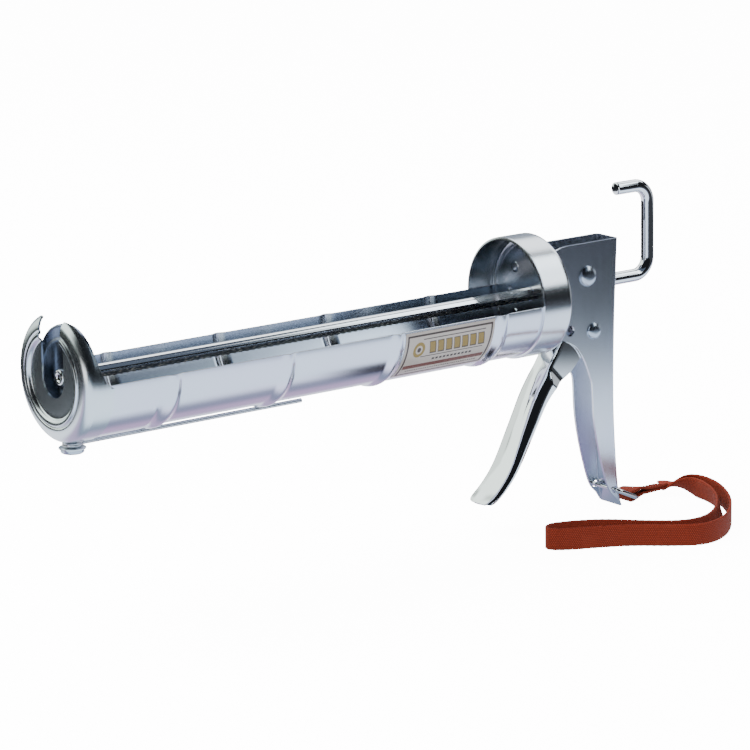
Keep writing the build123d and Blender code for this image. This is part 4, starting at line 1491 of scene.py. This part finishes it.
# ---------------------------------------------------------------- trigger
@dataclass
class TriggerSet:
    """Trigger, pawls, pin and springs."""

    pivot: tuple[float, float] = (286.4, -20.5)
    reach: float = 9.2
    lead: float = 15.0
    ear: float = 5.95
    grip: float = 8.2
    sheet: float = 1.1
    front: list[tuple[float, float]] = field(default_factory=lambda: [
        (268.6, -22.9), (261.6, -33.6), (253.2, -46.0), (246.0, -60.5), (238.2, -76.6), (231.0, -85.6),
        (223.4, -91.9)])
    rear: list[tuple[float, float]] = field(default_factory=lambda: [
        (278.7, -33.2), (273.7, -38.1), (265.4, -43.0), (259.4, -48.6), (254.6, -55.6), (242.6, -76.2),
        (234.8, -85.8),
        (226.4, -92.6)])

    @property
    def pin(self) -> tuple[float, float]:
        """Place of the pawl's pin, x and z."""
        turn = radians(self.lead)
        return self.pivot[0] + self.reach * sin(turn), self.pivot[1] + self.reach * cos(turn)

    def build_trigger(self, finishes: Finishes) -> None:
        """Loft the trigger's channel from its front and rear lines and add its ears.

        Args:
            finishes: The gun's materials.
        """
        count = 72
        front = evenly(smooth_line(self.front, 8), count)
        rear = evenly(smooth_line(self.rear, 8), count)
        rows = []
        for i, (f, b) in enumerate(zip(front, rear)):
            t = i / (count - 1)
            flare = min(1.0, max(0.0, (t - 0.155) / 0.075))
            flare = flare * flare * (3 - 2 * flare)
            half = self.ear + (self.grip - self.ear) * flare
            tail = max(0.0, (t - 0.94) / 0.06)
            half -= 1.6 * (1 - sqrt(max(0.0, 1 - tail * tail)))
            depth = float(np.linalg.norm(b - f))
            u = (b - f) / depth
            corner = min(1.5 + 3.0 * flare, depth * 0.8, half * 0.62)
            run = [(corner + (depth - corner) * s, -half + 0.11 * flare * (depth - corner) * s)
                   for s in (1, 0.88, 0.7, 0.5, 0.3, 0.1, 0)]
            run += [(corner - corner * sin(a), -half + corner - corner * cos(a)) for a in np.linspace(0,
                                                                                                      pi / 2,
                                                                                                      9)[1:]]
            crown = 0.7 * flare
            run += [(-crown * (1 - (y / (half - corner)) ** 2), y) for y in np.linspace(-(half - corner), 0,
                                                                                        6)[1:]]
            run += [(d, -y) for d, y in reversed(run[:-1])]
            rows.append([(f[0] + u[0] * d, y, f[1] + u[1] * d) for d, y in run])
        blank = Blank().grid(rows)
        px, pz = self.pivot
        nx, nz = self.pin
        outline = [(px - 11.6, pz - 1.3), (px - 7.4, pz + 0.4), (nx - 3.6, nz), (nx - 2.9, nz + 2.2),
                   (nx - 1.2, nz + 3.2),
                   (nx + 1.2, nz + 3.2), (nx + 2.9, nz + 2.0), (nx + 3.4, nz), (px + 6.2, pz),
                   (px + 4.5, pz - 4.0),
                   (px - 1, pz - 6.2)]
        for side in (-1, 1):
            edge = [p for p in rows[0] if abs(p[1] - side * self.ear) < 1e-6]
            edge.sort(key=lambda p: p[0], reverse=True)
            base = len(blank.points)
            blank.points += [Vector(p) for p in (*edge, *((x, side * self.ear, z) for x, z in outline))]
            blank.faces.append(tuple(range(base, len(blank.points))))
        carrier = blank.carrier("trigger_grip")
        if sum(p.normal.y * p.area for p in carrier.data.polygons if p.center.y < -0.0055) > 0:
            carrier.data.flip_normals()
        grip = dress(carrier, finishes.bright, sheet=self.sheet, edge=0.22, rounds=3)
        hand_over(grip, "trigger", ["trigger"])

    def build_pawls(self, finishes: Finishes) -> None:
        """Cut the drive pawl, its pin and the holding catch.

        Args:
            finishes: The gun's materials.
        """
        nx, nz = self.pin
        top = -3.0 - 0.35 - self.reach * (1 - cos(radians(self.lead)))
        outline = [(nx + 2.6, nz - 1.4), (nx + 2.9, nz + 1.4), (nx + 0.6, nz + 3.3), (nx - 4.2, top),
                   (nx - 5.6, top),
                   (nx - 5.0, nz + 4.0), (nx - 2.9, nz - 0.4), (nx - 1.2, nz - 2.6), (nx + 1.2, nz - 2.8)]
        pawl = dress(Blank().slab(outline, -2.4, 2.4).carrier("driving_pawl"), finishes.dark, edge=0.2)
        hand_over(pawl, "drive_pawl", ["drive_pawl"])
        ends = [(-5.95, 0), (-5.95, 1.2), (-5.7, 1.5), (5.7, 1.5), (5.95, 1.2), (5.95, 0)]
        pin = turned_piece("pawl_pin", ends, Vector((nx, 0, nz)), Y_AXIS, 28, finishes.rivet)
        hand_over(pin, "trigger", ["drive_pawl_pin"])
        px, pz = self.pivot
        tip = 274.6
        side = [(px + 3.6, pz - 1.5), (px + 3.0, pz + 2.6), (px - 1.0, pz + 3.9), (px - 5.6, pz + 4.3),
                (tip + 2.6, -9.0),
                (tip + 1.9, -3.35), (tip, -3.35), (tip - 0.6, -9.4), (tip + 2.8, pz + 3.4),
                (px - 4.4, pz - 0.6),
                (px - 1.0, pz - 3.8), (px + 1.6, pz - 3.6)]
        blank = Blank()
        for low, high in ((-4.5, -3.4), (3.4, 4.5)):
            blank.slab(side, low, high)
        blank.slab([(tip + 2.6, -9.0), (tip + 1.9, -3.35), (tip, -3.35), (tip - 0.6, -9.4)], -4.45, 4.45)
        catch = dress(blank.carrier("holding_catch_plate"), finishes.dark, edge=0.15)
        hand_over(catch, "holding_catch", ["holding_catch"])

    def coil(self, centre: Vector, along: Vector, radius: float, pitch: float, turns: float,
             legs: tuple[tuple[float, float], tuple[float, float]] | None = None) -> list[Vector]:
        """Wind a coil that starts at its top.

        Args:
            centre: Middle of its first turn.
            along: Direction of its axis.
            radius: Radius of the wire's middle.
            pitch: Advance of each turn.
            turns: Number of turns.
            legs: Ends of its two legs, x and z, if it has them.

        Returns:
            Places along the wire.
        """
        side = X_AXIS if abs(along.y) > 0.5 else Y_AXIS
        up = Z_AXIS
        steps = int(turns * 28)
        path = [centre + along * (pitch * turns * i / steps) + up * radius * cos(2 * pi * turns * i / steps)
                + side * radius * sin(2 * pi * turns * i / steps) for i in range(steps + 1)]
        if legs:
            (ax, az), (bx, bz) = legs
            path = [Vector((ax, path[0].y, az)), *path, Vector((bx, path[-1].y, bz))]
        return path

    def build_springs(self, finishes: Finishes) -> None:
        """Wind the three springs.

        Args:
            finishes: The gun's materials.
        """
        px, pz = self.pivot
        nx, nz = self.pin
        legs_back = ((px - 14.6, pz - 4.2), (297.4, pz + 3.3))
        legs_small = ((nx - 4.0, nz + 2.6), (nx + 4.2, nz + 0.8))
        springs = (
            ("return_spring_wire", self.coil(Vector((px, -1.9, pz)), Y_AXIS, 3.3, 1.25, 3, legs_back), 0.5,
             10,
             "gun_body", "trigger_return_spring"),
            ("pawl_spring_wire", self.coil(Vector((nx, 3.05, nz)), Y_AXIS, 2.1, 0.65, 2, legs_small), 0.3, 8,
             "trigger", "pawl_spring"),
            ("catch_spring_wire", self.coil(Vector((px + 4.4, 0, pz - 2.2)), X_AXIS, 1.7, 1.34, 5), 0.3, 8,
             "gun_body", "catch_spring"))
        for name, path, radius, sides, body, node in springs:
            hand_over(wire_piece(name, path, radius, finishes.wire, sides=sides), body, [node])


# ---------------------------------------------------------------- seal punch
@dataclass
class SealPunch:
    """Swing-out wire under the barrel, its rivet and washer."""

    hinge: float = 9.8
    height: float = -28.95
    wire: float = 1.0
    tip: float = 126.8

    def build(self, finishes: Finishes) -> None:
        """Bend the wire round its rivet and turn the rivet and washer.

        Args:
            finishes: The gun's materials.
        """
        eye = 2.0 + 0.35 + self.wire
        turns = np.linspace(0.35, 2 * pi - 0.35, 36)
        path = [Vector((self.hinge + eye * cos(t), eye * sin(t), self.height)) for t in turns]
        path = [*path, Vector((self.hinge + eye + 1.6, 0, self.height)),
                Vector((self.tip - 14, 0, self.height)),
                Vector((self.tip, 0, self.height))]
        wire = wire_piece("seal_punch_rod", path, self.wire, finishes.wire, sides=14)
        hand_over(wire, "seal_punch", ["seal_punch_wire"])
        washer_top = self.height - self.wire - 0.15
        ring = [(washer_top, 2.08), (washer_top, 5.6), (washer_top - 0.15, 5.8), (washer_top - 0.6, 5.8),
                (washer_top - 0.7, 5.6), (washer_top - 0.7, 2.08), (washer_top, 2.08)]
        axis = Vector((self.hinge, 0, 0))
        washer = turned_piece("seal_punch_ring", ring, axis, Z_AXIS, 48, finishes.cap)
        hand_over(washer, "gun_body", ["seal_punch_washer"])
        low = washer_top - 0.7
        head = [(low - 1.9, 0.0), (low - 1.9, 4.3), (low - 1.6, 4.8), (low - 1.2, 5.0), (low - 0.1, 5.0),
                (low, 4.9), (low, 2.0),
                (-25.35, 2.0), (-25.3, 3.1), (-25.0, 3.2), (-24.7, 3.0), (-24.65, 0.0)]
        rivet = turned_piece("seal_punch_stud", head, axis, Z_AXIS, 48, finishes.rivet)
        hand_over(rivet, "gun_body", ["seal_punch_rivet"])


# ---------------------------------------------------------------- studio
@dataclass
class Studio:
    """Camera, floor, lights and the reflected surroundings."""

    eye: tuple[float, float, float] = (-0.9465, -1.2662, 0.4561)
    aim: tuple[float, float, float] = (0.0030, 0.0, 0.0820)
    lens: float = 178.08
    roll: float = -0.92
    floor_size: float = 14.0
    floor_glow: float = 13.0
    dome_radius: float = 5.0
    room_light: float = 0.95
    key_power: float = 44.0
    key_place: tuple[float, float, float] = (-0.55, 0.60, 1.3)

    def place_camera(self) -> None:
        """Set the camera at the front left."""
        camera = add_object("camera", bpy.data.cameras.new("camera"))
        camera.data.lens = self.lens
        camera.data.sensor_width = 36.0
        ahead = (Vector(self.aim) - Vector(self.eye)).normalized()
        right = ahead.cross(Z_AXIS).normalized()
        up = right.cross(ahead)
        turn = radians(self.roll)
        side, top = right * cos(turn) + up * sin(turn), up * cos(turn) - right * sin(turn)
        camera.matrix_world = Matrix.Translation(self.eye) @ Matrix((side, top, -ahead)).transposed().to_4x4()
        bpy.context.scene.camera = camera

    def lay_floor(self) -> None:
        """Lay the pale floor."""
        mesh = bpy.data.meshes.new("floor")
        size = self.floor_size
        mesh.from_pydata([(-size, -size, 0), (size, -size, 0), (size, size, 0), (-size, size, 0)], [],
                         [(0, 1, 2, 3)])
        floor = add_object("floor", mesh)
        material, tree = ShaderTree.fresh("floor_paper")
        shader = tree.node("ShaderNodeBsdfPrincipled", {
            "Base Color": (0.92, 0.92, 0.92, 1), "Roughness": 0.9, "Specular IOR Level": 0.0,
            "Emission Color": (1, 1, 1, 1), "Emission Strength": self.floor_glow})
        tree.surface(shader)
        mesh.materials.append(material)
        floor.visible_glossy = False
        floor.visible_diffuse = False

    @staticmethod
    def reflect_only(made: Piece) -> None:
        """Hide a stage object from all but reflections."""
        made.visible_camera = made.visible_diffuse = made.visible_shadow = made.visible_transmission = False

    def hang_surroundings(self) -> None:
        """Hang the dome that only reflections see: soft boxes, pale table, dark room."""
        work = bmesh.new()
        bmesh.ops.create_icosphere(work, subdivisions=4, radius=self.dome_radius)
        mesh = bpy.data.meshes.new("surroundings")
        work.to_mesh(mesh)
        work.free()
        dome = add_object("surroundings", mesh)
        material, tree = ShaderTree.fresh("surroundings_light")
        x, y, z = tree.split(tree.place((0.2, 0.2, 0.2)))
        ahead = x * 0.6 + y * 0.8
        right = x * 0.8 - y * 0.6
        tone: Wire | tuple = (0.012, 0.013, 0.016, 1)

        def add(mask: Wire, colour: tuple[float, float, float], strength: float) -> None:
            """Lay one lit area over the dark room."""
            nonlocal tone
            tone = tree.mix(mask, tone, (*(c * strength for c in colour), 1))

        add(tree.step(z, -0.40, -0.55), (0.93, 0.95, 1.0), 0.8)
        add(tree.step(ahead, 0.72, 0.84) * tree.within(z, -0.50, 0.80, 0.04), (0.80, 0.94, 1.14), 0.42)
        add(tree.step(z, 0.46, 0.54) * tree.step(ahead, 0.38, 0.48), (0.92, 0.97, 1.0), 2.6)
        add(tree.step(right, -0.44, -0.56) * tree.step(z, 0.26, 0.34) * tree.step(ahead, -0.40, -0.20),
            (0.90, 1.0, 0.95), 2.2)
        add(tree.within(ahead, 0.36, 0.78, 0.05) * tree.step(right, -0.10, -0.30) * tree.within(z, -0.06,
                                                                                                0.40, 0.04),
            (0.90, 1.0, 0.95), 1.6)
        add(tree.step(right, -0.42, -0.50) * tree.step(ahead, -0.52, -0.60) * tree.within(z, -0.30, 0.20,
                                                                                          0.04),
            (1.0, 1.0, 1.0), 2.4)
        add(tree.step(right, 0.55, 0.75) * tree.step(ahead, 0.05, 0.25) * tree.within(z, -0.30, 0.25, 0.05),
            (0.80, 0.86, 0.94), 0.7)
        glow = tree.node("ShaderNodeEmission", {"Color": tone, "Strength": 1.0})
        tree.surface(glow)
        mesh.materials.append(material)
        self.reflect_only(dome)

    def card(self, name: str, corners: Places, glow: Callable[[ShaderTree], Wire]) -> None:
        """Set up a glowing card that only reflections see.

        Args:
            name: The card's name.
            corners: Its four corners, in metres.
            glow: Makes the colour of its light from its tree.
        """
        mesh = bpy.data.meshes.new(name)
        mesh.from_pydata(corners, [], [(0, 1, 2, 3)])
        card = add_object(name, mesh)
        material, tree = ShaderTree.fresh(name + "_light")
        light = tree.node("ShaderNodeEmission", {"Color": glow(tree), "Strength": 1.0})
        tree.surface(light)
        mesh.materials.append(material)
        self.reflect_only(card)

    def set_cards(self) -> None:
        """Lay the lit table top and hang the overhead card."""

        def table(tree: ShaderTree) -> Wire:
            """Bright near the gun, dim behind it, ending at the front right.

            Args:
                tree: Shader tree to work in.

            Returns:
                Colour of the card.
            """
            x, y, _ = tree.split(tree.place())
            edge = x * 0.6 - y * 0.8
            back = y * 0.779 - x * 0.584
            tone = tree.mix(tree.step(y, -0.052, -0.014), (1.42, 1.66, 1.98, 1), (0.32, 0.40, 0.56, 1))
            tone = tree.mix(tree.step(y, -0.004, 0.026), tone, (0.74, 0.60, 0.92, 1))
            tone = tree.mix(tree.step(y, 0.050, 0.100), tone, (1.6, 1.7, 1.9, 1))
            tone = tree.mix(tree.step(back, 0.30, 0.40), tone, (0.020, 0.022, 0.026, 1))
            tone = tree.mix(tree.step(edge, 0.31, 0.42), tone, (0.05, 0.055, 0.065, 1))
            shade = tree.within(x, 0.034, 0.080, 0.016) * tree.within(y, -0.056, -0.008, 0.010)
            return tree.mix(shade, tone, (0.010, 0.011, 0.012, 1))

        def overhead(low: float, high: float) -> Callable[[ShaderTree], Wire]:
            """Light that fades to the left between two places."""
            dim, lit = (0.10, 0.13, 0.18, 1), (3.4, 3.8, 4.0, 1)
            return lambda tree: tree.mix(tree.step(tree.split(tree.place())[0], low, high), dim, lit)

        self.card("table_glow",
                  [(x, y, -0.001) for x, y in ((-1.2, -0.9), (0.9, -0.9), (0.9, 0.9), (-1.2, 0.9))], table)
        self.card("overhead_glow",
                  [(0.16, -0.46, 0.72), (0.75, -0.46, 0.72), (0.75, -0.08, 0.72), (0.16, -0.08, 0.72)],
                  overhead(0.37, 0.52))
        self.card("sloping_glow",
                  [(0.16, -0.72, 0.40), (0.75, -0.72, 0.40), (0.75, -0.46, 0.72), (0.16, -0.46, 0.72)],
                  overhead(0.44, 0.60))

    def hang_lights(self) -> None:
        """Fill the room with soft light and add one large key."""
        world = bpy.data.worlds.new("room")
        world.use_nodes = True
        world.node_tree.nodes["Background"].inputs[0].default_value = (1.0, 1.0, 1.0, 1.0)
        world.node_tree.nodes["Background"].inputs[1].default_value = self.room_light
        bpy.context.scene.world = world
        key = add_object("key", bpy.data.lights.new("key", "AREA"))
        key.data.shape = "RECTANGLE"
        key.data.size, key.data.size_y = 1.4, 1.0
        key.data.energy = self.key_power
        key.visible_glossy = False
        spot = Vector(self.key_place)
        facing = (Vector((0, 0, 0.05)) - spot).to_track_quat("-Z", "Y")
        key.matrix_world = Matrix.Translation(spot) @ facing.to_matrix().to_4x4()


def main() -> None:
    """Build the studio and the gun, piece by piece."""
    logging.basicConfig(level=logging.INFO, format="%(message)s")
    studio = Studio()
    studio.place_camera()
    finishes = Finishes()
    lanyard = Lanyard()
    lanyard.build_strap(finishes)
    lanyard.build_ring(finishes)
    barrel = Barrel()
    barrel.build_cradle(finishes)
    barrel.build_cap(finishes)
    barrel.build_collar(finishes)
    barrel.build_rivets(finishes)
    barrel.build_label(finishes)
    handle = HandleFrame()
    handle.build_channel(finishes)
    handle.build_rivets(finishes)
    rod = RodAndPiston()
    rod.build_rod(finishes)
    rod.build_piston(finishes)
    trigger = TriggerSet()
    trigger.build_trigger(finishes)
    trigger.build_pawls(finishes)
    trigger.build_springs(finishes)
    SealPunch().build(finishes)
    studio.lay_floor()
    studio.hang_surroundings()
    studio.set_cards()
    studio.hang_lights()


if __name__ == "__main__":
    main()
